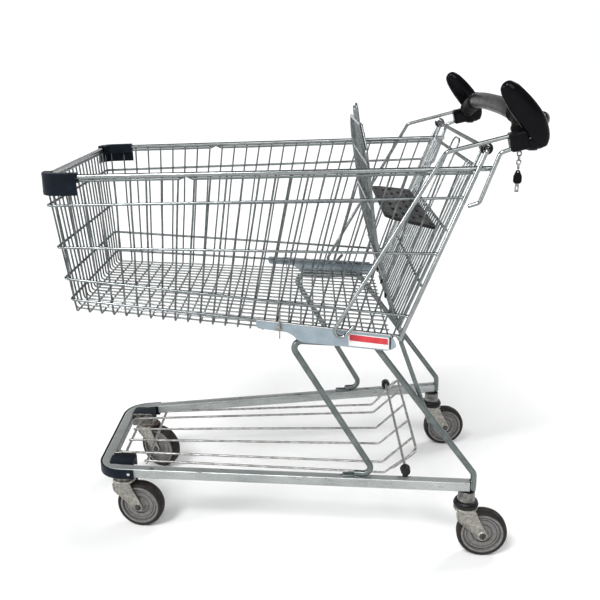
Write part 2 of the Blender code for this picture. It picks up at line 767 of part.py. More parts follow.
def build_seat_back(gate):
    """Wire back of the child seat, which folds on to the gate about its foot."""
    uprights = []
    for y in spread((-BACK_HALF + 0.010, BACK_HALF - 0.010), BACK_WIRES):
        top_z = BACK_LOOP_TOP + 0.0022 if 0.020 < abs(y) < 0.050 else back_top(y)
        uprights.append([(x, y, z) for x, z in back_profile(top_z)])
    welded = BACK_WIRE_RADIUS + BACK_EDGE_RADIUS - 0.0020
    clear = BACK_WIRE_RADIUS + BACK_EDGE_RADIUS + GAP
    for path in (uprights[0], uprights[-1]):
        path[:] = [Vector(point) - Vector((BACK_WIRE_RADIUS, 0.0, 0.0)) for point in path]
    crosses = []
    for z in BACK_CROSS_Z:
        ends = (BACK_FOOT, BACK_KNEE) if z < BACK_KNEE[1] else (BACK_KNEE, BACK_TOP)
        ahead = welded if z in (BACK_CROSS_Z[0], BACK_CROSS_Z[-1]) else clear
        x = along(z, (ends[0][1], ends[1][1]), (ends[0][0], ends[1][0])) - ahead
        half = BACK_HALF - 0.004
        crosses.append([(x, -half, z), (x, half, z)])
    top_line = []
    level = BACK_SHOULDER[1]
    for y in (-BACK_HALF + 0.004, -level, level, BACK_HALF - 0.004):
        z = back_top(y) - 0.0041
        top_line.append((back_profile(z)[-1][0] - clear, y, z))
    crosses.append(top_line)
    loop_x = back_profile(BACK_LOOP_TOP)[-1][0] - welded
    for sign in (-1, 1):
        crosses.append([
            (loop_x, sign * 0.0215, BACK_LOOP_TOP), (loop_x, sign * 0.0510, BACK_LOOP_TOP),
        ])
    base = wires_mesh(uprights, BACK_WIRE_RADIUS)
    tools = [wires_mesh(crosses, BACK_EDGE_RADIUS)]
    mesh = combine(base, tools, "UNION")
    back = place("seat_back_grid", mesh, ZINC, CART)
    return on_axis(back, mesh, (BACK_PIVOT[0], 0.0, BACK_PIVOT[1]), gate)


def build_seat_plate(gate):
    """Slotted plastic seat, which flips up against the gate."""
    lean = math.atan2(SEAT_FRONT[1] - SEAT_PIVOT[1], SEAT_PIVOT[0] - SEAT_FRONT[0])
    length = math.hypot(SEAT_PIVOT[0] - SEAT_FRONT[0], SEAT_FRONT[1] - SEAT_PIVOT[1])
    corner = 0.018
    outline = [
        (0.0, -SEAT_HALF_REAR), (0.0, SEAT_HALF_REAR), (length - corner, SEAT_HALF_FRONT + corner),
        (length, SEAT_HALF_FRONT), (length, -SEAT_HALF_FRONT),
        (length - corner, -SEAT_HALF_FRONT - corner),
    ]
    slots = []
    for row, distance in enumerate((0.024, 0.052, 0.080)):
        for y in spread((-0.135, 0.135), 4):
            shift = 0.022 * (row % 2)
            low_y = y - 0.014 + shift
            high_y = y + 0.014 + shift
            slots.append([
                (distance - 0.003, low_y), (distance + 0.003, low_y),
                (distance + 0.003, high_y), (distance - 0.003, high_y),
            ])
    tilt = Matrix.Rotation(math.radians(180.0), 4, "Z") @ Matrix.Rotation(-lean, 4, "Y")
    move = Matrix.Translation((SEAT_PIVOT[0], 0.0, SEAT_PIVOT[1]))
    shifted = Matrix.Translation((0.0060, 0.0, 0.0))
    mesh = solid_from(outline_data([outline, *slots], SEAT_THICKNESS), move @ tilt @ shifted)
    seat = place("seat_plate", mesh, MATT, CART)
    return on_axis(seat, mesh, (SEAT_PIVOT[0], 0.0, SEAT_PIVOT[1]), gate)


# ---------------------------------------------------------------- chassis
def rail_outline():
    """Plan of the U-shaped square tube: outer edge out, inner edge back."""
    half = RAIL_SIZE / 2
    lines = []
    for offset, radius in ((half, RAIL_CORNER + half), (-half, RAIL_CORNER - half)):
        front = RAIL_FRONT_X - offset
        corners = [
            (RAIL_END_X, -(rail_y(RAIL_END_X) + offset), 0.0),
            (front, -(rail_y(front) + offset), 0.0),
            (front, rail_y(front) + offset, 0.0),
            (RAIL_END_X, rail_y(RAIL_END_X) + offset, 0.0),
        ]
        lines.append(bent(corners, radius, 6))
    return lines


def build_chassis():
    outer, inner = rail_outline()
    outline = [(point.x - RAIL_FRONT_X, point.y) for point in outer + inner[::-1]]
    slope = math.atan((RAIL_TOP_Z[1] - RAIL_TOP_Z[0]) / (RAIL_END_X - RAIL_FRONT_X))
    tilt = Matrix.Rotation(-slope, 4, "Y")
    move = Matrix.Translation((RAIL_FRONT_X, 0.0, RAIL_TOP_Z[0] - RAIL_SIZE / 2))
    mesh = solid_from(outline_data([outline], RAIL_SIZE), move @ tilt)
    place("chassis_frame", smooth(mesh, 30.0), ZINC, CART)
    build_corner_pads(tilt)


def pad_arc(offset, sign):
    """Plan line at a distance outside the tube's centre line, round one front corner."""
    front = RAIL_FRONT_X - offset
    corners = [
        (front, rail_y(front) + offset - 0.062, 0.0),
        (front, rail_y(front) + offset, 0.0),
        (RAIL_FRONT_X + 0.072, rail_y(RAIL_FRONT_X + 0.072) + offset, 0.0),
    ]
    return [(point.x - RAIL_FRONT_X, sign * point.y) for point in bent(corners, RAIL_CORNER + offset, 6)]


def build_corner_pads(tilt):
    """Black plastic guards: a shell on each side of the tube, joined by a strap below it."""
    inside = RAIL_SIZE / 2 + GAP
    outside = inside + 0.0045
    height = RAIL_SIZE + 0.0010
    for name, sign in SIDES:
        outer = pad_arc(outside, sign) + pad_arc(inside, sign)[::-1]
        inner = pad_arc(-inside, sign) + pad_arc(-outside, sign)[::-1]
        shell = solid_from(outline_data([outer], height))
        liner = solid_from(outline_data([inner], height))
        strap_x = 0.0690
        strap_y = sign * rail_y(RAIL_FRONT_X + strap_x)
        strap_z = -RAIL_SIZE / 2 - GAP - 0.0008
        strap = box_mesh((0.0050, 2 * outside - 0.0010, 0.0016), (strap_x, strap_y, strap_z))
        mesh = combine(shell, [liner, strap], "UNION")
        move = Matrix.Translation((RAIL_FRONT_X, 0.0, RAIL_TOP_Z[0] - RAIL_SIZE / 2))
        mesh.transform(move @ tilt @ Matrix.Translation((0.0, 0.0, -0.0010)))
        place(f"corner_pad_{name}", smooth(mesh, 30.0), MATT, CART)


def build_legs():
    """Bent tubes that carry the basket: a front Z-leg and a rear post on each side."""
    foot_z = rail_top(LEG_FOOT_X) + LEG_RADIUS + GAP + 0.0016
    post_foot = rail_top(RAIL_END_X) - RAIL_SIZE + 0.001
    for name, sign in SIDES:
        leg = [
            (0.1500, sign * (LEG_TOP_Y + 0.0120), 0.4800),
            (-0.0020, sign * LEG_TOP_Y, 0.4830),
            (LEG_KNEE_X, sign * rail_y(LEG_KNEE_X), foot_z),
            (LEG_FOOT_X, sign * rail_y(LEG_FOOT_X), foot_z),
        ]
        mesh = tube_mesh(bent(leg, LEG_BEND, 4), LEG_RADIUS)
        place(f"front_leg_{name}", smooth(mesh), ZINC_DARK, CART)
        post = [
            (0.1540, sign * (LEG_TOP_Y + 0.0125), 0.4800),
            (0.1720, sign * (LEG_TOP_Y + 0.0140), 0.4770),
            (POST_X, sign * rail_y(RAIL_END_X), 0.1920),
            (POST_X, sign * rail_y(RAIL_END_X), post_foot),
        ]
        mesh = tube_mesh(bent(post, POST_BEND, 4), LEG_RADIUS)
        place(f"rear_post_{name}", smooth(mesh), ZINC_DARK, CART)
        build_brace(name, sign)


def build_brace(name, sign):
    """Flat strip from the basket's rear corner down to the rear post."""
    top = Vector((BRACE_TOP[0], 0.0, BRACE_TOP[1]))
    foot = Vector((BRACE_FOOT[0], 0.0, BRACE_FOOT[1]))
    run = (foot - top).normalized()
    side = Vector((run.z, 0.0, -run.x)) * (BRACE_WIDTH / 2)
    outline = []
    for end, outwards, sweep in ((top, -run, 1), (foot, run, -1)):
        for step in range(7):
            angle = math.pi * step / 6
            reach = outwards * math.sin(angle) * (BRACE_WIDTH / 2)
            offset = side * math.cos(angle) * sweep + reach
            outline.append((end.x + offset.x, end.z + offset.z))
    move = Matrix.Translation((0.0, sign * LEG_TOP_Y, 0.0))
    mesh = solid_from(outline_data([outline], BRACE_THICKNESS), move @ ALONG_Y)
    place(f"post_brace_{name}", mesh, ZINC_DARK, CART)


# ---------------------------------------------------------------- lower tray
def tray_long_paths():
    """Long wires of the tray, and the wire that loops round its nose."""
    end_x, end_z = TRAY_END
    paths = []
    for start_x, front_y, bend_y, end_y in TRAY_LONGS:
        for sign in (-1, 1):
            paths.append([
                (start_x, sign * front_y, TRAY_Z),
                (TRAY_BEND_X, sign * bend_y, TRAY_Z),
                (end_x, sign * end_y, end_z),
            ])
    nose_x, nose_y = TRAY_NOSE
    paths.append([
        (end_x, -TRAY_LOOP_Y, end_z), (TRAY_BEND_X, -TRAY_LOOP_Y, TRAY_Z),
        (nose_x, -nose_y, TRAY_Z), (nose_x, nose_y, TRAY_Z),
        (TRAY_BEND_X, TRAY_LOOP_Y, TRAY_Z), (end_x, TRAY_LOOP_Y, end_z),
    ])
    return paths


def build_tray():
    """Lower tray: six long wires, cross wires, a raised rear end and two rubber stops."""
    end_x, end_z = TRAY_END
    below = TRAY_Z - TRAY_ROD_OFFSET
    stop_end = STOP_Y - STOP_RADIUS - GAP
    stop_z = along(STOP_X, (TRAY_BEND_X, end_x), (TRAY_Z, end_z)) + TRAY_ROD_OFFSET
    crosses = [
        [(TRAY_HINGE_X, -0.0980, below), (TRAY_HINGE_X, 0.0980, below)],
        [(-0.3270, -0.1340, below), (-0.3270, 0.1340, below)],
        [(STOP_X, -stop_end, stop_z), (STOP_X, stop_end, stop_z)],
        [(end_x - 0.003, -0.2040, end_z + 0.0010), (end_x - 0.003, 0.2040, end_z + 0.0010)],
    ]
    base = wires_mesh(tray_long_paths(), TRAY_WIRE_RADIUS)
    mesh = combine(base, [wires_mesh(crosses, TRAY_ROD_RADIUS)], "UNION")
    hinge = make_empty("tray_hinge", (TRAY_HINGE_X, 0.0, TRAY_Z))
    tray = place("tray_grid", mesh, ZINC, CART)
    on_axis(tray, mesh, (TRAY_HINGE_X, 0.0, TRAY_Z), hinge)
    for name, sign in SIDES:
        centre = (STOP_X, sign * STOP_Y, rail_top(STOP_X) + STOP_RADIUS + GAP)
        profile = []
        for step in range(7):
            angle = math.pi * step / 6
            profile.append((STOP_RADIUS * math.sin(angle), STOP_RADIUS * math.cos(angle)))
        ball = turned_mesh(profile, 12)
        ball.transform(Matrix.Translation(centre) @ ALONG_Y)
        stop = place(f"tray_stop_{name}", smooth(ball, 80.0), RUBBER, CART)
        on_axis(stop, ball, centre, hinge)


# ---------------------------------------------------------------- casters
def fork_mesh():
    """Swivel head and two tapered legs of a caster, about its swivel axis."""
    head_z = CROWN_TOP - 0.0035
    crown_foot = CROWN_TOP - 0.0075
    crown = turned_mesh(
        [
            (0.0, CROWN_TOP), (CROWN_RADIUS - 0.004, CROWN_TOP), (CROWN_RADIUS, CROWN_TOP - 0.004),
            (CROWN_RADIUS, crown_foot), (0.0, crown_foot),
        ],
        16,
    )
    shoulder = 0.0200
    eye = 0.0105
    outline = [(-shoulder, head_z), (shoulder, head_z), (shoulder + 0.004, head_z - 0.012)]
    for step in range(7):
        angle = math.radians(35.0 - 35.0 * step)
        outline.append((TRAIL + eye * math.cos(angle), WHEEL_RADIUS + eye * math.sin(angle)))
    outline.append((-shoulder, head_z - 0.012))
    outline.reverse()
    legs = []
    for sign in (-1, 1):
        middle = sign * (FORK_INSIDE + FORK_PLATE / 2)
        move = Matrix.Translation((0.0, middle, 0.0))
        legs.append(solid_from(outline_data([outline], FORK_PLATE), move @ ALONG_Y))
    return combine(crown, legs, "UNION")


def tyre_mesh():
    half = WHEEL_WIDTH / 2
    inner = WHEEL_RADIUS - TYRE_DEPTH
    profile = [
        (inner, half - 0.002), (WHEEL_RADIUS - 0.005, half), (WHEEL_RADIUS, half - 0.008),
        (WHEEL_RADIUS, 0.008 - half), (WHEEL_RADIUS - 0.005, -half),
        (inner, 0.002 - half), (inner, half - 0.002),
    ]
    return turned_mesh(profile, WHEEL_STEPS)


def hub_mesh():
    half = WHEEL_WIDTH / 2
    outer = WHEEL_RADIUS - TYRE_DEPTH - GAP
    bore = 0.0045
    profile = [
        (outer, half - 0.003), (outer, 0.003 - half), (outer - 0.010, 0.008 - half),
        (0.011, 0.001 - half), (bore, 0.001 - half), (bore, half - 0.001),
        (0.011, half - 0.001), (outer - 0.010, half - 0.008), (outer, half - 0.003),
    ]
    return turned_mesh(profile, WHEEL_STEPS)


def axle_mesh():
    """Bolt through hub and fork legs, its heads just outside the legs."""
    shaft = 0.0040
    head = 0.0075
    inside = FORK_INSIDE + FORK_PLATE + GAP
    outside = inside + 0.0040
    profile = [
        (0.0, outside), (head, outside), (head, inside), (shaft, inside),
        (shaft, -inside), (head, -inside), (head, -outside), (0.0, -outside),
    ]
    return turned_mesh(profile, 12)


def build_casters():
    """Four casters: fixed housing, swivelling fork, axle bolt, hub and tyre."""
    bore = disc_mesh(0.0043, 0.060, 12, Matrix.Translation((TRAIL, 0.0, WHEEL_RADIUS)) @ ALONG_Y)
    fork_data = smooth(combine(fork_mesh(), [bore], "DIFFERENCE"))
    axle_data = axle_mesh()
    hub_data = hub_mesh()
    tyre_data = tyre_mesh()
    for name, x, y, degrees in CASTERS:
        build_housing(name, x, y)
        swivel = make_empty(f"swivel_{name}", (x, y, 0.0), None, math.radians(degrees))
        axle_point = make_empty(f"axle_point_{name}", (TRAIL, 0.0, WHEEL_RADIUS), swivel)
        fork = place(f"fork_{name}", fork_data.copy(), ZINC, CART)
        fork.parent = swivel
        parts = (
            ("axle", axle_data, ZINC_DARK),
            ("hub", hub_data, HUB),
            ("tyre", tyre_data, RUBBER),
        )
        for kind, data, look in parts:
            part = place(f"{kind}_{name}", smooth(data.copy()), look, CART)
            part.rotation_euler = (math.radians(90.0), 0.0, 0.0)
            part.parent = axle_point


def build_housing(name, x, y):
    """Fixed cup under the rail that carries the swivel bearing."""
    radius = 0.0215
    neck = 0.0175
    ring = 0.0265
    under_rail = rail_top(x - ring) - RAIL_SIZE - 0.0006
    low = CROWN_TOP + GAP
    if x < 0.0:
        top = under_rail - 0.0018
        profile = [(0.0, top), (radius - 0.002, top), (radius, low), (0.0, low)]
    else:
        profile = [
            (0.0, under_rail), (neck, under_rail), (neck, low + 0.013), (ring - 0.003, low + 0.012),
            (ring, low + 0.008), (ring - 0.002, low), (0.0, low),
        ]
    mesh = turned_mesh(profile, 16)
    mesh.transform(Matrix.Translation((x, y, 0.0)))
    place(f"caster_housing_{name}", smooth(mesh), ZINC, CART)


# ---------------------------------------------------------------- handle and coin key
def build_handle():
    """Blocks on the rods, raised horns at the ends and the cross grip."""
    for name, sign in SIDES:
        centre = (BLOCK_CENTRE[0], sign * BLOCK_CENTRE[1], BLOCK_CENTRE[2])
        tilt = Matrix.Rotation(math.radians(-BLOCK_TILT), 4, "Y")
        block = box_mesh(BLOCK_SIZE, centre, tilt)
        place(f"handle_block_{name}", block, GLOSS, CART)
        build_horn(name, sign)
    path = [(x, -y, z) for x, y, z in GRIP_PATH] + [GRIP_MIDDLE] + list(GRIP_PATH[::-1])
    mesh = tube_mesh(path, GRIP_RADIUS, 3)
    place("handle_grip", smooth(mesh), MATT, CART)


def build_horn(name, sign):
    """Rounded horn that rises forwards from the handle's end, with a short inner lobe."""
    mesh = swept_mesh(HORN_SPINE, 3)
    mesh.transform(Matrix.Diagonal((1.0, HORN_FLATNESS, 1.0, 1.0)))
    lobe = swept_mesh(HORN_LOBE, 2)
    mesh = combine(mesh, [lobe], "UNION")
    mesh.transform(Matrix.Diagonal((1.0, -sign, 1.0, 1.0)))
    if sign > 0:
        mesh.flip_normals()
    mesh.transform(Matrix.Translation((0.0, sign * HORN_Y, 0.0)))
    place(f"handle_horn_{name}", smooth(mesh, 60.0), GLOSS, CART)


def build_coin_key():
    """Short chain of joined links and the plastic coin-lock key hanging from it."""
    top = Vector(CHAIN_TOP)
    pitch = 2 * LINK_HALF - LINK_WIRE
    half_loops = []
    for index in range(CHAIN_LINKS):
        centre = top - Vector((0.0, 0.0, pitch * index + LINK_HALF))
        sideways = Vector((1.0, 0.0, 0.0)) if index % 2 == 0 else Vector((0.0, 1.0, 0.0))
        loop = []
        for step in range(9):
            angle = 2 * math.pi * step / 8
            rise = Vector((0.0, 0.0, (LINK_HALF - LINK_WIRE) * math.sin(angle)))
            loop.append(centre + sideways * (LINK_REACH * math.cos(angle)) + rise)
        half_loops.extend((loop[:5], loop[4:]))
    tools = [wires_mesh([path], LINK_WIRE) for path in half_loops[1:]]
    chain = combine(wires_mesh(half_loops[:1], LINK_WIRE), tools, "UNION")
    item = place("coin_chain", chain, ZINC, CART)
    hanger = make_empty("chain_point", top)
    on_axis(item, chain, top, hanger)
    body_top = top.z - pitch * CHAIN_LINKS - LINK_WIRE - 2 * GAP
    move = Matrix.Translation((top.x, top.y, body_top))
    mesh = solid_from(outline_data([KEY_OUTLINE], KEY_THICKNESS), move @ ALONG_Y)
    key = place("coin_key", mesh, MATT, CART)
    on_axis(key, mesh, top, hanger)


# ---------------------------------------------------------------- build
clear_scene()
CART = make_collection(COLLECTION_NAME)
CUTTERS = make_collection("cutters")
build_basket()
build_bumpers()
build_side_plates()
build_rods()
build_rear_frame()
gate_object = build_gate()
bpy.context.view_layer.update()
build_seat_back(gate_object)
build_seat_plate(gate_object)
build_chassis()
build_legs()
build_tray()
build_casters()
build_handle()
build_coin_key()
bpy.context.view_layer.update()
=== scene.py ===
"""Looks of the wire shopping cart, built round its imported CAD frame."""
import math
import random

import bmesh
import bpy
from mathutils import Matrix, Vector


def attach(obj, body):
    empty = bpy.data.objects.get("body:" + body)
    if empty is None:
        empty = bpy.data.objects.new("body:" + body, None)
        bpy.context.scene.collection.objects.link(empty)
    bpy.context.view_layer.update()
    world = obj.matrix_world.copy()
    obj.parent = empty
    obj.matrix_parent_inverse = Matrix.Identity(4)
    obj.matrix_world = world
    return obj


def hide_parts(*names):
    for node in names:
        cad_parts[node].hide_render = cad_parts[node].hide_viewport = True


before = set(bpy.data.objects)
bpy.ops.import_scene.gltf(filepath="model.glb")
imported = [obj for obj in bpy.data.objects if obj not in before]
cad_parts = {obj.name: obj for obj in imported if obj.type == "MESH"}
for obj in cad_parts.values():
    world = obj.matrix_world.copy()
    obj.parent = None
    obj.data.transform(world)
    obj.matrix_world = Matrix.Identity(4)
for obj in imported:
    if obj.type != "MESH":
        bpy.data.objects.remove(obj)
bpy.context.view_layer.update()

# ---------------------------------------------------------------- dimensions, in metres
GAP = 0.0003
BASKET_X = (-0.438, 0.21)
RIM_X = (-0.464, 0.374)
FLOOR_Z = (0.533, 0.4895)
RIM_Z = (0.808, 0.8305)
FLOOR_HALF = (0.2035, 0.2685)
RIM_HALF = (0.2435, 0.2745)
RIM_RADIUS = 0.005
RIM_CORNER = 0.026
THIN = 0.0019                  # radius of the basket's thin wires
RING = 0.0027                  # radius of its lengthwise ring wires
SIDE_WIRES = 26
FRONT_WIRES = 19
RING_FRONT_Z = (0.753, 0.668, 0.602, 0.556)
RING_REAR_Z = (0.777, 0.67, 0.545, 0.503)
SIDE_TOP_X = (-0.451, 0.314)
SIDE_FOOT_X = (-0.433, 0.2)
HINGE_X = 0.362
HINGE_Z = 0.867
REAR_FOOT_X = 0.211
REAR_FOOT_Z = 0.482
RAIL_SIZE = 0.022
RAIL_FRONT_X = -0.419
RAIL_END_X = 0.3785
RAIL_TOP_Z = (0.1505, 0.1755)
RAIL_HALF = (0.1575, 0.257)
RAIL_CORNER = 0.046
PAD_SKIN = 0.0036              # thickness of the plastic over the rail's corners
LEG_RADIUS = 0.0065
POST_X = 0.3858
ROD_RADIUS = 0.004
BLOCK_CENTRE = (0.414, -0.291, 0.8825)
BLOCK_SIZE = (0.0325, 0.028, 0.0345)
WHEEL_RADIUS = 0.0535
TRAIL = 0.037
CROWN_TOP = 0.115
PLATE_OUTLINE = (
    (-0.066, 0.529), (0.195, 0.5075), (0.206, 0.499), (0.212, 0.483), (0.203, 0.477),
    (0.194, 0.474), (0.03, 0.4845), (0.018, 0.488), (0.008, 0.499), (-0.005, 0.5055),
    (-0.064, 0.511),
)
PLATE_OUTWARDS = 0.0115
PLATE_THICKNESS = 0.002
GATE_HALF = (0.244, 0.233)
GATE_FOOT_S = 0.388            # each S is a distance down the gate from its rod
GATE_BAR_S = 0.0385
GATE_SEAT_S = 0.17
GATE_MIDDLE_S = 0.29
EYE_RADIUS = 0.0066            # of the loops that hang the gate on its rod
BACK_FOOT = (0.2155, 0.517)
SEAT_TWIST = 0.063             # the worn back grid stands a little askew
BACK_KNEE = (0.175, 0.67)
BACK_TOP = (0.141, 0.9)
BACK_HALF = 0.203
BACK_FLAT = 0.125              # half width of its level top
BACK_SHOULDER_Z = 0.845        # height of the top at its sides
HORN_Y = 0.293
HORN_SPINE = (
    (0.4515, 0.869, 0.006), (0.451, 0.873, 0.013), (0.4508, 0.882, 0.0172),
    (0.4492, 0.893, 0.0194), (0.4428, 0.9065, 0.0218), (0.4352, 0.92, 0.022),
    (0.4245, 0.9335, 0.022), (0.4118, 0.948, 0.0212), (0.3998, 0.9618, 0.019),
    (0.393, 0.9695, 0.0172), (0.3888, 0.9742, 0.015), (0.3846, 0.979, 0.012),
    (0.3822, 0.9818, 0.0082), (0.3808, 0.9834, 0.0034),
)
GRIP_PATH = (
    (0.424, 0.257, 0.899), (0.429, 0.247, 0.908), (0.4325, 0.225, 0.917),
    (0.433, 0.19, 0.924), (0.43, 0.14, 0.9285), (0.429, 0.07, 0.931),
)
CASTERS = (
    ("front_left", -0.377, -0.144, -10.0),
    ("front_right", -0.377, 0.144, -28.0),
    ("rear_left", 0.374, -0.253, -4.0),
    ("rear_right", 0.374, 0.253, 5.0),
)
SIDES = (("left", -1), ("right", 1))
ALONG_Y = Matrix.Rotation(math.radians(90.0), 4, "X")
dice = random.Random(11)


def along(x, ends, values):
    """Value at x on the straight line through two known values."""
    t = (x - ends[0]) / (ends[1] - ends[0])
    return values[0] + t * (values[1] - values[0])


def spread(ends, count):
    """Evenly spaced numbers from one end to the other."""
    step = (ends[1] - ends[0]) / (count - 1)
    return [ends[0] + index * step for index in range(count)]


def floor_z(x):
    """Height of the basket floor at x."""
    return along(x, BASKET_X, FLOOR_Z)


def rim_z(x):
    """Height of the top rim at x."""
    return along(x, RIM_X, RIM_Z)


def side_y(x, z):
    """Half width of the basket at x and height z."""
    low = along(x, BASKET_X, FLOOR_HALF)
    high = along(x, RIM_X, RIM_HALF)
    return low + (z - floor_z(x)) / (rim_z(x) - floor_z(x)) * (high - low)


def front_x(z):
    """Where the sloping front of the basket stands at height z."""
    return along(z, (FLOOR_Z[0], RIM_Z[0]), (BASKET_X[0], RIM_X[0]))


def rear_x(z):
    """Where the sloping rear of the basket stands at height z."""
    return along(z, (REAR_FOOT_Z, HINGE_Z), (REAR_FOOT_X, HINGE_X))


def rail_top(x):
    """Top of the sloping chassis rail at x."""
    return along(x, (RAIL_FRONT_X, RAIL_END_X), RAIL_TOP_Z)


def rail_y(x):
    """Half width of the chassis at x."""
    return along(x, (RAIL_FRONT_X, RAIL_END_X), RAIL_HALF)


def bent(points, radius, steps=6):
    """Polyline whose inner corners are arcs of one bend radius."""
    corners = [Vector(point) for point in points]
    path = [corners[0]]
    for before, corner, after in zip(corners, corners[1:], corners[2:]):
        into = (corner - before).normalized()
        out = (after - corner).normalized()
        turn = into.angle(out)
        if turn < 0.02:
            path.append(corner)
            continue
        reach = radius * math.tan(turn / 2)
        centre = corner + (out - into).normalized() * (radius / math.cos(turn / 2))
        start = corner - into * reach - centre
        axis = into.cross(out).normalized()
        for step in range(steps + 1):
            path.append(centre + Matrix.Rotation(turn * step / steps, 3, axis) @ start)
    path.append(corners[-1])
    return path


def curved(points, steps=6):
    """Smooth line through points of any length (Catmull-Rom)."""
    knots = [Vector(point) for point in points]
    knots = [knots[0] * 2 - knots[1], *knots, knots[-1] * 2 - knots[-2]]
    line = []
    for a, b, c, d in zip(knots, knots[1:], knots[2:], knots[3:]):
        for step in range(steps):
            t = step / steps
            line.append(0.5 * (2 * b + (c - a) * t + (2 * a - 5 * b + 4 * c - d) * t * t
                               + (3 * b - a - 3 * c + d) * t ** 3))
    line.append(knots[-2])
    return line


def rounded(corners, radius, steps=3):
    """Closed 2-D outline with its corners rounded."""
    flat = [Vector((a, b, 0.0)) for a, b in corners]
    loop = []
    for index, corner in enumerate(flat):
        before, after = flat[index - 1], flat[(index + 1) % len(flat)]
        reach = min(radius, 0.45 * (corner - before).length, 0.45 * (after - corner).length)
        into = (corner - before).normalized()
        out = (after - corner).normalized()
        start, end = corner - into * reach, corner + out * reach
        for step in range(steps + 1):
            t = step / steps
            point = start * (1 - t) ** 2 + corner * 2 * t * (1 - t) + end * t * t
            loop.append((point.x, point.y))
    return loop


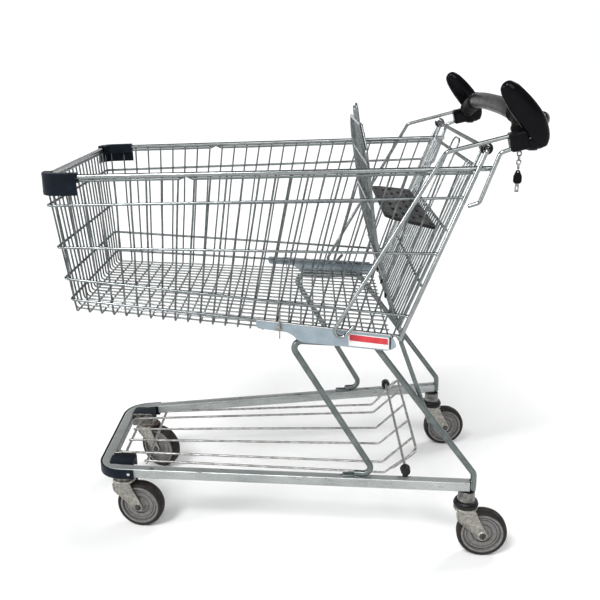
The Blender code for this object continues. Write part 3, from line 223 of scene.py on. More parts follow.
# ---------------------------------------------------------------- mesh builder
class Shape:
    """Points and faces gathered into one mesh."""

    def __init__(self):
        self.points = []
        self.faces = []

    def rings(self, rings, loop=False):
        """Skin rings of equal length; loop joins the last to the first."""
        count = len(rings[0])
        first = len(self.points)
        for ring in rings:
            self.points.extend(Vector(point) for point in ring)
        spans = len(rings) if loop else len(rings) - 1
        for row in range(spans):
            a = first + row * count
            b = first + (row + 1) % len(rings) * count
            for index in range(count):
                step = (index + 1) % count
                self.faces.append((a + index, a + step, b + step, b + index))
        if not loop:
            last = first + (len(rings) - 1) * count
            self.faces.append(tuple(range(first + count - 1, first - 1, -1)))
            self.faces.append(tuple(range(last, last + count)))

    def tube(self, path, radius, sides=12, flat=1.0, loop=False, up=None):
        """Round wire along a path; radius is one number or one for each point."""
        line = [Vector(point) for point in path]
        count = len(line)
        sizes = list(radius) if hasattr(radius, "__len__") else [radius] * count
        aims = []
        for index in range(count):
            if loop:
                aim = line[(index + 1) % count] - line[index - 1]
            else:
                aim = line[min(index + 1, count - 1)] - line[max(index - 1, 0)]
            aims.append(aim.normalized())
        if up is None:
            up = Vector((0.0, 0.0, 1.0)) if abs(aims[0].z) < 0.9 else Vector((1.0, 0.0, 0.0))
        normal = Vector(up)
        rings = []
        for point, aim, size in zip(line, aims, sizes):
            normal = (normal - aim * normal.dot(aim)).normalized()
            other = aim.cross(normal)
            rings.append([
                point + (normal * math.cos(a) + other * (math.sin(a) * flat)) * size
                for a in (2 * math.pi * k / sides for k in range(sides))
            ])
        if not loop:
            start = [line[0] + (p - line[0]) * 0.62 - aims[0] * sizes[0] * 0.35 for p in rings[0]]
            end = [line[-1] + (p - line[-1]) * 0.62 + aims[-1] * sizes[-1] * 0.35 for p in rings[-1]]
            rings = [start, *rings, end]
        self.rings(rings, loop=loop)

    def sweep(self, path, section, up=(0.0, 0.0, 1.0)):
        """Section of (sideways, upwards) pairs along a path; sideways is up x direction."""
        line = [Vector(point) for point in path]
        count = len(line)
        rings = []
        for index, point in enumerate(line):
            before, after = line[max(index - 1, 0)], line[min(index + 1, count - 1)]
            aim = (after - before).normalized()
            side = Vector(up).cross(aim).normalized()
            top = aim.cross(side)
            widen = 1.0
            if 0 < index < count - 1:
                widen = 1.0 / max(0.5, math.cos((point - before).angle(after - point) / 2))
            rings.append([point + side * (a * widen) + top * b for a, b in section])
        self.rings(rings)

    def lathe(self, profile, steps=48, move=None, closed=False):
        """Solid of revolution about Z from (radius, height) pairs."""
        first = len(self.points)
        places = []
        for radius, height in profile:
            if radius < 1e-6:
                places.append([len(self.points)] * steps)
                self.points.append(Vector((0.0, 0.0, height)))
                continue
            row = []
            for k in range(steps):
                a = 2 * math.pi * k / steps
                row.append(len(self.points))
                self.points.append(Vector((radius * math.cos(a), radius * math.sin(a), height)))
            places.append(row)
        pairs = list(zip(places, places[1:]))
        if closed:
            pairs.append((places[-1], places[0]))
        for top, low in pairs:
            for k in range(steps):
                n = (k + 1) % steps
                corners = []
                for item in (top[k], low[k], low[n], top[n]):
                    if item not in corners:
                        corners.append(item)
                if len(corners) > 2:
                    self.faces.append(tuple(corners))
        if move is not None:
            for index in range(first, len(self.points)):
                self.points[index] = move @ self.points[index]

    def ball(self, centre, size, steps=12):
        """Rounded bead, as (x, y, z) half sizes."""
        rows = [(math.sin(math.pi * k / 8), math.cos(math.pi * k / 8)) for k in range(9)]
        self.lathe([(max(r, 0.0) if 0 < k < 8 else 0.0, h) for k, (r, h) in enumerate(rows)], steps,
                   Matrix.Translation(centre) @ Matrix.Diagonal((*size, 1.0)))

    def plate(self, outlines, thickness, bevel, move=None):
        """Flat plate with rounded edges from closed XY outlines, holes included."""
        data = bpy.data.curves.new("outline", "CURVE")
        data.dimensions = "2D"
        data.fill_mode = "BOTH"
        data.extrude = thickness / 2 - bevel
        data.bevel_depth = bevel
        data.bevel_resolution = 2
        data.offset = -bevel
        for outline in outlines:
            spline = data.splines.new("POLY")
            spline.points.add(len(outline) - 1)
            for point, place in zip(spline.points, outline):
                point.co = (place[0], place[1], 0.0, 1.0)
            spline.use_cyclic_u = True
        carrier = bpy.data.objects.new("carrier", data)
        bpy.context.scene.collection.objects.link(carrier)
        graph = bpy.context.evaluated_depsgraph_get()
        mesh = bpy.data.meshes.new_from_object(carrier.evaluated_get(graph))
        bpy.data.objects.remove(carrier, do_unlink=True)
        self.take(mesh, move)

    def block(self, size, centre, turn=None, bevel=0.002, segments=4):
        """Rounded box."""
        work = bmesh.new()
        bmesh.ops.create_cube(work, size=1.0)
        work.transform(Matrix.Diagonal((*size, 1.0)))
        bmesh.ops.bevel(work, geom=work.edges[:], offset=bevel, segments=segments,
                        profile=0.5, affect="EDGES")
        if turn is not None:
            work.transform(turn)
        work.transform(Matrix.Translation(centre))
        mesh = bpy.data.meshes.new("block")
        work.to_mesh(mesh)
        work.free()
        self.take(mesh)

    def take(self, mesh, move=None):
        work = bmesh.new()
        work.from_mesh(mesh)
        bmesh.ops.remove_doubles(work, verts=work.verts, dist=1e-6)
        if move is not None:
            work.transform(move)
        first = len(self.points)
        work.verts.ensure_lookup_table()
        self.points.extend(vert.co.copy() for vert in work.verts)
        for face in work.faces:
            self.faces.append(tuple(first + vert.index for vert in face.verts))
        work.free()
        bpy.data.meshes.remove(mesh)

    def twist(self, foot_z, amount):
        """Lean the left edge back and the right edge forward, more with height."""
        for point in self.points:
            point.x -= point.y * (point.z - foot_z) * amount

    def mirrored(self):
        """The same shape on the other side of the cart."""
        other = Shape()
        other.points = [Vector((p.x, -p.y, p.z)) for p in self.points]
        other.faces = [tuple(reversed(face)) for face in self.faces]
        return other

    def build(self, name, material, body, nodes=(), sharp=38.0, slot=None):
        """Make the object, let it ride on its body and stand for its CAD nodes."""
        mesh = bpy.data.meshes.new(name)
        mesh.from_pydata([tuple(point) for point in self.points], [], self.faces)
        work = bmesh.new()
        work.from_mesh(mesh)
        bmesh.ops.recalc_face_normals(work, faces=work.faces)
        work.to_mesh(mesh)
        work.free()
        mesh.shade_smooth()
        mesh.set_sharp_from_angle(angle=math.radians(sharp))
        item = bpy.data.objects.new(name, mesh)
        bpy.context.scene.collection.objects.link(item)
        mesh.materials.append(material)
        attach(item, body)
        if nodes:
            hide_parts(*nodes)


def build_pair(shape, name, material, node=None, slot=None, sharp=38.0):
    """Build a shape of the left side and its mirror image on the right."""
    for side, part in (("left", shape), ("right", shape.mirrored())):
        nodes = (f"{node}_{side}",) if node else ()
        part.build(f"{name}_{side}", material, "cart_frame", nodes, sharp, slot and slot.format(side))


# ---------------------------------------------------------------- materials
def surface(name, dark, light, metallic=0.0, rough=(0.3, 0.5), blotch=30.0, grain=700.0,
            bump=0.15, depth=0.0003, stains=(), coat=0.0, stretch=(1.0, 1.0, 1.0), gleam=0.5):
    """Principled finish: blotches and grain between two tones, stains over them, bump.

    Each stain is (colour, scale, low, high, amount): patches of that colour where a noise
    of that scale rises from low to high.
    """
    material = bpy.data.materials.new(name)
    material.use_nodes = True
    nodes = material.node_tree.nodes
    links = material.node_tree.links
    shader = nodes["Principled BSDF"]
    shader.inputs["Metallic"].default_value = metallic
    shader.inputs["Specular IOR Level"].default_value = gleam
    if coat:
        shader.inputs["Coat Weight"].default_value = coat
        shader.inputs["Coat Roughness"].default_value = 0.06
        shader.inputs["Coat IOR"].default_value = 1.18
    place = nodes.new("ShaderNodeTexCoord")
    mapping = nodes.new("ShaderNodeMapping")
    mapping.inputs["Scale"].default_value = stretch
    links.new(place.outputs["Object"], mapping.inputs["Vector"])

    def noise(scale, detail, source=mapping):
        node = nodes.new("ShaderNodeTexNoise")
        node.inputs["Scale"].default_value = scale
        node.inputs["Detail"].default_value = detail
        node.inputs["Roughness"].default_value = 0.62
        links.new(source.outputs[0], node.inputs["Vector"])
        return node

    def ranged(source, low, high, start, end):
        node = nodes.new("ShaderNodeMapRange")
        for label, value in (("From Min", low), ("From Max", high), ("To Min", start), ("To Max", end)):
            node.inputs[label].default_value = value
        links.new(source, node.inputs["Value"])
        return node.outputs["Result"]

    def mixed(factor, first, second):
        node = nodes.new("ShaderNodeMix")
        node.data_type = "RGBA"
        links.new(factor, node.inputs[0])
        for value, socket in ((first, node.inputs[6]), (second, node.inputs[7])):
            if isinstance(value, tuple):
                socket.default_value = (*value, 1.0)
            else:
                links.new(value, socket)
        return node.outputs[2]

    big = noise(blotch, 5.0)
    fine = noise(grain, 3.0)
    both = nodes.new("ShaderNodeMath")
    both.operation = "MULTIPLY_ADD"
    both.inputs[1].default_value = 0.35
    links.new(fine.outputs["Fac"], both.inputs[0])
    links.new(ranged(big.outputs["Fac"], 0.0, 1.0, 0.0, 0.65), both.inputs[2])
    tone = ranged(both.outputs[0], 0.36, 0.64, 0.0, 1.0)
    colour = mixed(tone, dark, light)
    roughness = ranged(tone, 0.0, 1.0, rough[1], rough[0])
    for stain, scale, low, high, amount in stains:
        patch = noise(scale, 6.0, place)
        patch.inputs["Roughness"].default_value = 0.7
        mask = ranged(patch.outputs["Fac"], low, high, 0.0, amount)
        colour = mixed(mask, colour, stain)
        extra = nodes.new("ShaderNodeMath")
        extra.operation = "MULTIPLY_ADD"
        extra.use_clamp = True
        extra.inputs[1].default_value = 0.3
        links.new(mask, extra.inputs[0])
        links.new(roughness, extra.inputs[2])
        roughness = extra.outputs[0]
    links.new(colour, shader.inputs["Base Color"])
    links.new(roughness, shader.inputs["Roughness"])
    relief = nodes.new("ShaderNodeBump")
    relief.inputs["Strength"].default_value = bump
    relief.inputs["Distance"].default_value = depth
    links.new(both.outputs[0], relief.inputs["Height"])
    links.new(relief.outputs["Normal"], shader.inputs["Normal"])
    return material


RUST = (0.075, 0.03, 0.014)
GRIME = (0.035, 0.033, 0.028)
WIRE = surface("zinc_wire", (0.058, 0.066, 0.068), (0.185, 0.205, 0.208), 1.0, (0.22, 0.36), 70.0,
               300.0, 0.16, 0.0002, ((GRIME, 60.0, 0.58, 0.7, 0.6),))
# Lighter copy of zinc_wire for the floor wires. They are the same bent wire as the front uprights, so the
# lighter tone is a painted highlight where the wire faces up to the light.
FLOOR_WIRE_PAINTED_HIGHLIGHT = surface("zinc_floor_wire_painted_highlight", (0.16, 0.172, 0.172), (0.44, 0.462, 0.458), 1.0, (0.2, 0.34), 70.0,
               300.0, 0.14, 0.0002, ((GRIME, 60.0, 0.58, 0.7, 0.6),))
BRIGHT = surface("zinc_ring_wire", (0.125, 0.139, 0.143), (0.285, 0.307, 0.312), 1.0, (0.16, 0.28), 60.0,
                 300.0, 0.06, 0.0002, ((GRIME, 55.0, 0.6, 0.72, 0.5),))
ROD = surface("zinc_rod", (0.205, 0.222, 0.224), (0.345, 0.365, 0.364), 1.0, (0.14, 0.24), 30.0, 300.0,
              0.03, 0.0002, ((GRIME, 50.0, 0.61, 0.73, 0.5),))
TUBE = surface("zinc_leg_tube", (0.1, 0.118, 0.116), (0.19, 0.214, 0.21), 0.95, (0.24, 0.36), 40.0,
               400.0, 0.12, 0.0002, ((GRIME, 38.0, 0.6, 0.73, 0.55),))
FRAME = surface("zinc_rail", (0.26, 0.278, 0.275), (0.42, 0.44, 0.432), 0.55, (0.26, 0.4), 16.0, 400.0,
                0.14, 0.0002, ((GRIME, 21.0, 0.61, 0.64, 0.85), (RUST, 34.0, 0.7, 0.76, 0.6)),
                stretch=(0.6, 1.0, 1.0))
STEM = surface("dirty_stem", (0.055, 0.053, 0.048), (0.3, 0.3, 0.285), 1.0, (0.2, 0.38), 110.0, 500.0,
               0.35, 0.0003, ((GRIME, 120.0, 0.5, 0.62, 0.85),))
SHEET = surface("zinc_sheet", (0.235, 0.29, 0.33), (0.335, 0.395, 0.44), 0.7, (0.34, 0.48), 28.0,
                600.0, 0.14, 0.0002, ((GRIME, 70.0, 0.66, 0.76, 0.5),))
BAR = surface("dark_bar", (0.1, 0.108, 0.11), (0.2, 0.212, 0.212), 0.8, (0.42, 0.56), 60.0, 600.0,
              0.25, 0.0002, ((GRIME, 45.0, 0.6, 0.72, 0.5),))
WORN = surface("worn_tray_wire", (0.16, 0.16, 0.15), (0.52, 0.525, 0.51), 0.9, (0.26, 0.46), 90.0, 500.0,
               0.35, 0.0003, ((RUST, 85.0, 0.55, 0.64, 0.8), (GRIME, 130.0, 0.56, 0.66, 0.8)))
FORK = surface("zinc_fork", (0.15, 0.145, 0.125), (0.42, 0.41, 0.37), 0.75, (0.32, 0.52), 120.0, 700.0,
               0.5, 0.0004, ((GRIME, 210.0, 0.56, 0.64, 0.9), (RUST, 120.0, 0.6, 0.68, 0.65)))
RUSTY = surface("rusty_crown", (0.1, 0.045, 0.028), (0.26, 0.22, 0.19), 0.55, (0.45, 0.7), 110.0, 900.0,
                0.6, 0.0005, ((RUST, 90.0, 0.44, 0.6, 0.85),))
BOLT = surface("dark_bolt", (0.03, 0.028, 0.025), (0.1, 0.095, 0.085), 0.8, (0.4, 0.6), 150.0, 1200.0,
               0.4, 0.0003)
CHROME = surface("bright_zinc", (0.42, 0.43, 0.42), (0.72, 0.73, 0.72), 1.0, (0.16, 0.3), 60.0, 900.0,
                 0.2, 0.0002, ((GRIME, 120.0, 0.6, 0.7, 0.6),))
LINK = surface("chain_link", (0.1, 0.1, 0.1), (0.48, 0.48, 0.47), 1.0, (0.22, 0.4), 160.0, 900.0,
               0.3, 0.0002, ((GRIME, 170.0, 0.52, 0.62, 0.8),))
SPECK = (0.05, 0.05, 0.055)
GLOSS = surface("gloss_black_plastic", (0.0016, 0.0017, 0.0024), (0.0045, 0.0046, 0.0056), 0.0,
                (0.1, 0.18), 25.0, 600.0, 0.05, 0.0002, ((SPECK, 160.0, 0.7, 0.76, 0.3),), 0.35,
                gleam=0.05)
GRIP = surface("grip_plastic", (0.0042, 0.004, 0.0037), (0.0125, 0.0116, 0.0106), 0.0, (0.24, 0.38), 45.0,
               700.0, 0.3, 0.0003, (((0.045, 0.042, 0.038), 90.0, 0.62, 0.72, 0.4),), gleam=0.06)
PAD = surface("corner_black_plastic", (0.0028, 0.005, 0.009), (0.0085, 0.0125, 0.019), 0.0, (0.32, 0.5),
              35.0, 700.0, 0.3, 0.0004, (((0.05, 0.055, 0.06), 110.0, 0.66, 0.74, 0.35),), gleam=0.08)
SEAT = surface("seat_plastic", (0.009, 0.009, 0.0092), (0.024, 0.0238, 0.0238), 0.0, (0.36, 0.52), 50.0,
               700.0, 0.35, 0.0004, (((0.1, 0.1, 0.1), 75.0, 0.6, 0.72, 0.45),), gleam=0.12)
RUBBER = surface("black_rubber", (0.004, 0.004, 0.005), (0.012, 0.012, 0.013), 0.0, (0.3, 0.5), 90.0,
                 900.0, 0.3, 0.0003, gleam=0.22)
TYRE = surface("worn_tyre", (0.007, 0.0058, 0.005), (0.024, 0.0205, 0.0175), 0.0, (0.55, 0.78), 90.0,
               700.0, 0.5, 0.0006, (((0.075, 0.066, 0.057), 95.0, 0.58, 0.7, 0.6),), gleam=0.2)
HUB = surface("speckled_hub", (0.08, 0.078, 0.076), (0.175, 0.171, 0.166), 0.0, (0.42, 0.6), 120.0,
              1100.0, 0.5, 0.0004, ((GRIME, 190.0, 0.57, 0.65, 0.85), ((0.34, 0.33, 0.32), 160.0, 0.62,
                                                                       0.7, 0.5)))
WHITE = surface("label_white", (0.62, 0.61, 0.6), (0.74, 0.73, 0.72), 0.0, (0.35, 0.5), 90.0, 900.0,
                0.1, 0.0001, ((GRIME, 120.0, 0.66, 0.76, 0.5),))
RED = surface("label_red", (0.42, 0.018, 0.03), (0.56, 0.035, 0.045), 0.0, (0.35, 0.5), 90.0, 900.0,
              0.1, 0.0001, ((GRIME, 150.0, 0.66, 0.76, 0.4),))


# ---------------------------------------------------------------- basket
def wavering(start, end, amount, count=3):
    """Points between two ends, each a little off the straight line."""
    points = []
    for step in range(1, count + 1):
        point = Vector(start).lerp(Vector(end), step / (count + 1))
        points.append(point + Vector((dice.uniform(-amount, amount), dice.uniform(-amount, amount), 0)))
    return points


def build_cross_wires():
    """Wires that run down one side, across the floor and up the other."""
    drop = 2 * THIN + GAP
    cross = Shape()
    for foot_x, top_x in zip(spread(SIDE_FOOT_X, SIDE_WIRES), spread(SIDE_TOP_X, SIDE_WIRES)):
        low = floor_z(foot_x) - drop
        high = rim_z(top_x) - 0.003
        half = side_y(foot_x, low + 0.004)
        top_half = side_y(top_x, high)
        path = bent([
            (top_x, -top_half, high), (foot_x, -half, low), (foot_x, half, low), (top_x, top_half, high),
        ], 0.009, 5)
        left = wavering(path[0], path[1], 0.0007)
        right = wavering(path[-2], path[-1], 0.0007)
        cross.tube([path[0], *left, *path[1:-1], *right, path[-1]], THIN, 10)
    cross.build("basket_cross_wires", WIRE, "cart_frame", ("basket_left_grid", "basket_right_grid"))


def build_long_wires():
    """Wires of the front and the floor, bent from one length and split where they turn; the floor half
    has a lighter tone, a painted highlight.
    """
    inset = 0.012
    front = Shape()
    floor = Shape()
    fronts = spread((-FLOOR_HALF[0] + inset, FLOOR_HALF[0] - inset), FRONT_WIRES)
    rears = spread((-FLOOR_HALF[1] + inset, FLOOR_HALF[1] - inset), FRONT_WIRES)
    tops = spread((-RIM_HALF[0] + inset, RIM_HALF[0] - inset), FRONT_WIRES)
    for front_y, rear_y, top_y in zip(fronts, rears, tops):
        high = RIM_Z[0] - 0.003
        low_x = BASKET_X[0]
        end_x = SIDE_FOOT_X[1] + 0.004
        path = bent([
            (front_x(high), top_y, high), (low_x, front_y, floor_z(low_x)),
            (end_x, rear_y, floor_z(end_x)),
        ], 0.009, 5)
        bows = wavering(path[0], path[1], 0.0006)
        runs = wavering(path[-2], path[-1], 0.0007, 6)
        middle = len(path) // 2
        front.tube([path[0], *bows, *path[1:middle + 1]], THIN, 10)
        floor.tube([*path[middle:-1], *runs, path[-1]], THIN, 10)
    front.build("basket_front_wires", WIRE, "cart_frame", ("basket_front_grid",))
    # the floor half takes the lighter copy of the wire's zinc, a painted highlight
    floor.build("basket_floor_wires", FLOOR_WIRE_PAINTED_HIGHLIGHT, "cart_frame", ("basket_floor_grid",))


def build_ring_wires():
    """Lengthwise wires of the basket, one ring for each height."""
    clear = THIN + RING + GAP
    welded = THIN + RING - 0.0018
    rings = Shape()
    for front_height, rear_height in zip(RING_FRONT_Z, RING_REAR_Z):
        out = welded if front_height == RING_FRONT_Z[-1] else clear
        end_x = rear_x(rear_height) - 0.003
        nose_x = front_x(front_height) - out
        ends = (side_y(end_x, rear_height) + out, side_y(front_x(front_height), front_height) + out)
        path = bent([
            (end_x, -ends[0], rear_height), (nose_x, -ends[1], front_height),
            (nose_x, ends[1], front_height), (end_x, ends[0], rear_height),
        ], 0.012, 8)
        left = wavering(path[0], path[1], 0.0005, 5)
        right = wavering(path[-2], path[-1], 0.0005, 5)
        rings.tube([path[0], *left, *path[1:-1], *right, path[-1]], RING, 14)
    rings.build("basket_ring_wires", BRIGHT, "cart_frame", slot="basket_left_grid")


def build_lip_wire():
    """A thinner wire under the rim, in two lengths whose ends turn up to it."""
    under = RIM_RADIUS + RING + GAP
    lip = Shape()
    joint = (-0.201, -0.183)
    nose_z = RIM_Z[0] - under
    nose_x = front_x(nose_z)
    nose_half = side_y(nose_x, nose_z)
    path = []
    for sign in (-1, 1):
        joint_z = rim_z(joint[0]) - under
        rise = [
            (joint[0] + 0.006, sign * side_y(joint[0] + 0.006, joint_z), joint_z + under * 0.55),
            (joint[0] - 0.004, sign * side_y(joint[0], joint_z), joint_z),
            (nose_x, sign * nose_half, nose_z),
        ]
        path += rise if sign < 0 else rise[::-1]
    lip.tube(bent(path, 0.01, 6), RING * 0.9, 12)
    for sign in (-1, 1):
        start_z = rim_z(joint[1]) - under
        end_x = rear_x(rim_z(RIM_X[1]) - under) - 0.004
        end_z = rim_z(end_x) - under
        lip.tube(bent([
            (joint[1] - 0.006, sign * side_y(joint[1], start_z), start_z + under * 0.55),
            (joint[1] + 0.004, sign * side_y(joint[1], start_z), start_z),
            (end_x, sign * side_y(end_x, end_z), end_z),
        ], 0.004, 4), RING * 0.9, 12)
    lip.build("basket_lip_wire", TUBE, "cart_frame", slot="basket_left_grid")


def build_rim():
    """Rim tube round the top of the basket."""
    rim = Shape()
    corners = []
    for x, sign in ((RIM_X[1], -1), (RIM_X[0], -1), (RIM_X[0], 1), (RIM_X[1], 1)):
        corners.append((x, sign * along(x, RIM_X, RIM_HALF), rim_z(x)))
    rim.tube(bent(corners, RIM_CORNER, 12), RIM_RADIUS, 24)
    weld_x = RIM_X[1] - 0.012
    for sign in (-1, 1):
        y = along(weld_x, RIM_X, RIM_HALF)
        rim.ball((weld_x - 0.004, sign * (y + 0.0035), rim_z(weld_x)), (0.006, 0.0022, 0.0032), 10)
    rim.build("basket_rim_tube", ROD, "cart_frame", ("top_rim",))


def build_bumpers():
    """Plastic bumpers on the front corners of the rim."""
    section = rounded([
        (-0.0092, -0.0345), (-0.0092, 0.0077), (0.0084, 0.0077), (0.0084, -0.013),
        (0.0058, -0.013), (0.0058, 0.0053), (-0.0066, 0.0053), (-0.0066, -0.0345),
    ], 0.0016, 3)
    front_half = RIM_HALF[0] - 0.0355
    side_x = RIM_X[0] + 0.065
    side_half = along(side_x, RIM_X, RIM_HALF)
    path = bent([
        (RIM_X[0], -front_half, RIM_Z[0]), (RIM_X[0], -RIM_HALF[0], RIM_Z[0]),
        (side_x, -side_half, rim_z(side_x)),
    ], RIM_CORNER, 12)
    cover = Shape()
    cover.sweep(path, section)
    # two shallow pressed ribs along the skirt and a locking stud inside
    for z_off in (0.003, -0.0285):
        rib = [point + Vector((0, 0, z_off)) for point in path]
        cover.sweep(rib[1:-1], rounded([(-0.0098, -0.0007), (-0.0098, 0.0007), (-0.0085, 0.0007),
                                        (-0.0085, -0.0007)], 0.0004, 2))
    cover.ball((side_x - 0.018, -side_half + 0.003, RIM_Z[0] - 0.015), (0.0035, 0.005, 0.0035), 12)
    build_pair(cover, "corner_bumper_shell", PAD, "corner_bumper")


def build_side_plates():
    """Sheet-metal plates under the basket sides, their clips and the plain label."""
    yaw = math.atan((FLOOR_HALF[1] - FLOOR_HALF[0]) / (BASKET_X[1] - BASKET_X[0]))
    origin_x = PLATE_OUTLINE[0][0]
    origin_y = along(origin_x, BASKET_X, FLOOR_HALF) + PLATE_OUTWARDS

    def stretch(x):
        return (x - origin_x) / math.cos(yaw)

    move = Matrix.Translation((origin_x, -origin_y, 0.0)) @ Matrix.Rotation(-yaw, 4, "Z")
    plate = Shape()
    outline = rounded([(stretch(x), z) for x, z in PLATE_OUTLINE], 0.0055, 4)
    plate.plate([outline], PLATE_THICKNESS, 0.0005, move @ ALONG_Y)
    # folded top edge, drawn in bright zinc as a painted highlight along the fold; a pressed line below
    # it, drawn as a dark strip that is painted shade in its crease; and the weld spots to the lowest ring
    # wire
    edge = [(stretch(-0.064), -0.0012, 0.5286), (stretch(0.199), -0.0012, 0.5068)]
    trim = Shape()
    trim.tube([move @ Vector(point) for point in edge], 0.0017, 10)
    # the bright zinc of the folded edge is a painted highlight
    build_pair(trim, "side_plate_edge", CHROME, slot="side_plate_{}")
    fold = Shape()
    crease = [(stretch(0.1992), -0.0012, 0.502), (stretch(0.1984), -0.0012, 0.4785)]
    fold.tube([move @ Vector(point) for point in crease], 0.0018, 8)
    # the dark strip is painted shade in the crease at the plate's end
    build_pair(fold, "side_plate_fold", BOLT, slot="side_plate_{}")
    for x in spread((-0.045, 0.18), 6):
        z = along(x, (-0.066, 0.195), (0.529, 0.5075))
        spot = move @ Vector((stretch(x), 0.0016, z - 0.0015))
        plate.ball(spot, (0.0035, 0.002, 0.0022), 8)
    build_pair(plate, "side_plate_skin", SHEET, "side_plate")

    clip = Shape()
    clip_x = stretch(-0.019)
    strap = rounded([(-0.0075, 0.0), (0.0075, 0.0), (0.0075, 0.0016), (-0.0075, 0.0016)], 0.0005, 2)
    line = [(clip_x, -0.0028, 0.502), (clip_x, -0.0028, 0.533),
            (clip_x, -0.002, 0.5395), (clip_x, 0.006, 0.54),
            (clip_x, 0.0075, 0.533)]
    clip.sweep([move @ Vector(point) for point in bent(line, 0.0022, 3)], strap, (1.0, 0.0, 0.0))
    tail = [(clip_x, -0.0028, 0.503), (clip_x, -0.0026, 0.4985),
            (clip_x, 0.004, 0.4975)]
    clip.sweep([move @ Vector(point) for point in bent(tail, 0.002, 3)], strap, (1.0, 0.0, 0.0))
    hub = move @ Vector((stretch(-0.02), -0.003, 0.5135))
    clip.lathe([(0.0, 0.003), (0.0022, 0.0028), (0.004, 0.0016), (0.0042, 0.0), (0.006, 0.0),
                (0.006, -0.0008), (0.0, -0.0008)], 20, Matrix.Translation(hub) @ ALONG_Y)
    build_pair(clip, "side_plate_clip", FORK, slot="side_plate_{}")

    def patch(outline, depth):
        shape = Shape()
        shape.plate([rounded([(stretch(x), z) for x, z in outline], 0.0012, 3)], 0.0004, 0.0001,
                    move @ Matrix.Translation((0.0, -depth, 0.0)) @ ALONG_Y)
        return shape

    paper = [(0.1165, 0.5078), (0.1955, 0.5008), (0.1975, 0.4765), (0.118, 0.4822)]
    patch(paper, 0.0013).build("plain_label_panel", WHITE, "cart_frame", slot="side_plate_left")
    band = [(0.119, 0.5058), (0.1938, 0.4993), (0.1948, 0.4868), (0.1198, 0.4932)]
    patch(band, 0.0017).build("plain_label_band", RED, "cart_frame", slot="side_plate_left")


def build_rods():
    """Hooked support rods and the short rods behind the basket sides."""
    for name, sign in SIDES:
        front = BLOCK_CENTRE[0] - BLOCK_SIZE[0] / 2
        hook = bent([
            (0.127, sign * 0.285, 0.527), (0.105, sign * 0.285, 0.5),
            (0.086, sign * 0.285, 0.514), (0.286, sign * 0.293, 0.862),
            (front + 0.004, sign * 0.293, 0.892),
        ], 0.0125, 8)
        rod = Shape()
        rod.tube(hook, ROD_RADIUS, 18)
        rod.build(f"support_rod_bent_{name}", ROD, "cart_frame", (f"support_rod_{name}",))
        short = bent([
            (0.3335, sign * 0.2855, 0.7625), (0.353, sign * 0.287, 0.769),
            (0.3835, sign * 0.293, 0.861), (front + 0.005, sign * 0.293, 0.868),
        ], 0.01, 8)
        rod = Shape()
        rod.tube(short, ROD_RADIUS, 18)
        rod.build(f"rear_rod_bent_{name}", ROD, "cart_frame", (f"rear_rod_{name}",))


def build_rear_frame():
    """Rear tubes of the basket, with the rod and the hooks that hold the gate."""
    for name, sign in SIDES:
        tube = Shape()
        path = bent([
            (rear_x(0.4965), sign * 0.2785, 0.4965), (HINGE_X, sign * 0.2863, HINGE_Z + 0.0005),
            (HINGE_X + 0.0005, sign * 0.27, HINGE_Z + 0.0005),
        ], 0.0085, 8)
        tube.tube(path, 0.0044, 20)
        for height in RING_REAR_Z:
            x = rear_x(height) - 0.002
            tube.ball((x - 0.0025, sign * 0.279, height), (0.0055, 0.0036, 0.0036), 10)
        tube.build(f"rear_tube_bent_{name}", ROD, "cart_frame", (f"rear_tube_{name}",))

        cap = Shape()
        ring = rounded([(-0.0058, -0.002), (0.0058, -0.002), (0.0058, 0.002), (-0.0058, 0.002)],
                       0.0012, 3)
        arc = []
        for step in range(29):
            a = math.radians(-205.0 + 300.0 * step / 28)
            arc.append((HINGE_X + 0.0094 * math.cos(a), sign * 0.274, HINGE_Z + 0.0094 * math.sin(a)))
        rings = []
        for point in arc:
            centre = Vector((HINGE_X, sign * 0.274, HINGE_Z))
            radial = (Vector(point) - centre).normalized()
            rings.append([Vector(point) + Vector((0, a, 0)) + radial * b for a, b in ring])
        cap.rings(rings)
        cap.lathe([(0.0, 0.0052), (0.0052, 0.0052), (0.006, 0.0044), (0.006, -0.0052), (0.0, -0.0052)],
                  24, Matrix.Translation((HINGE_X, sign * 0.2738, HINGE_Z)) @ ALONG_Y)
        cap.build(f"hinge_hook_{name}", RUBBER, "cart_frame", (f"hinge_cap_{name}",))
    rod = Shape()
    half = 0.268 - GAP
    rod.tube([(HINGE_X, -half, HINGE_Z), (HINGE_X, 0.0, HINGE_Z - 0.0002), (HINGE_X, half, HINGE_Z)],
             ROD_RADIUS, 20)
    rod.build("gate_hinge_bar", BAR, "cart_frame", ("gate_hinge_rod",))


# ---------------------------------------------------------------- gate and child seat


def gate_point(s, y, forward=0.0):
    """Point of the gate: s down from its rod, y across, forward of its plane."""
    lean = math.atan2(HINGE_X - REAR_FOOT_X, HINGE_Z - REAR_FOOT_Z)
    return Vector((
        HINGE_X - s * math.sin(lean) - forward * math.cos(lean), y,
        HINGE_Z - s * math.cos(lean) + forward * math.sin(lean),
    ))


def gate_half(s):
    """Half width of the gate at s."""
    return along(s, (0.0, GATE_FOOT_S), GATE_HALF)


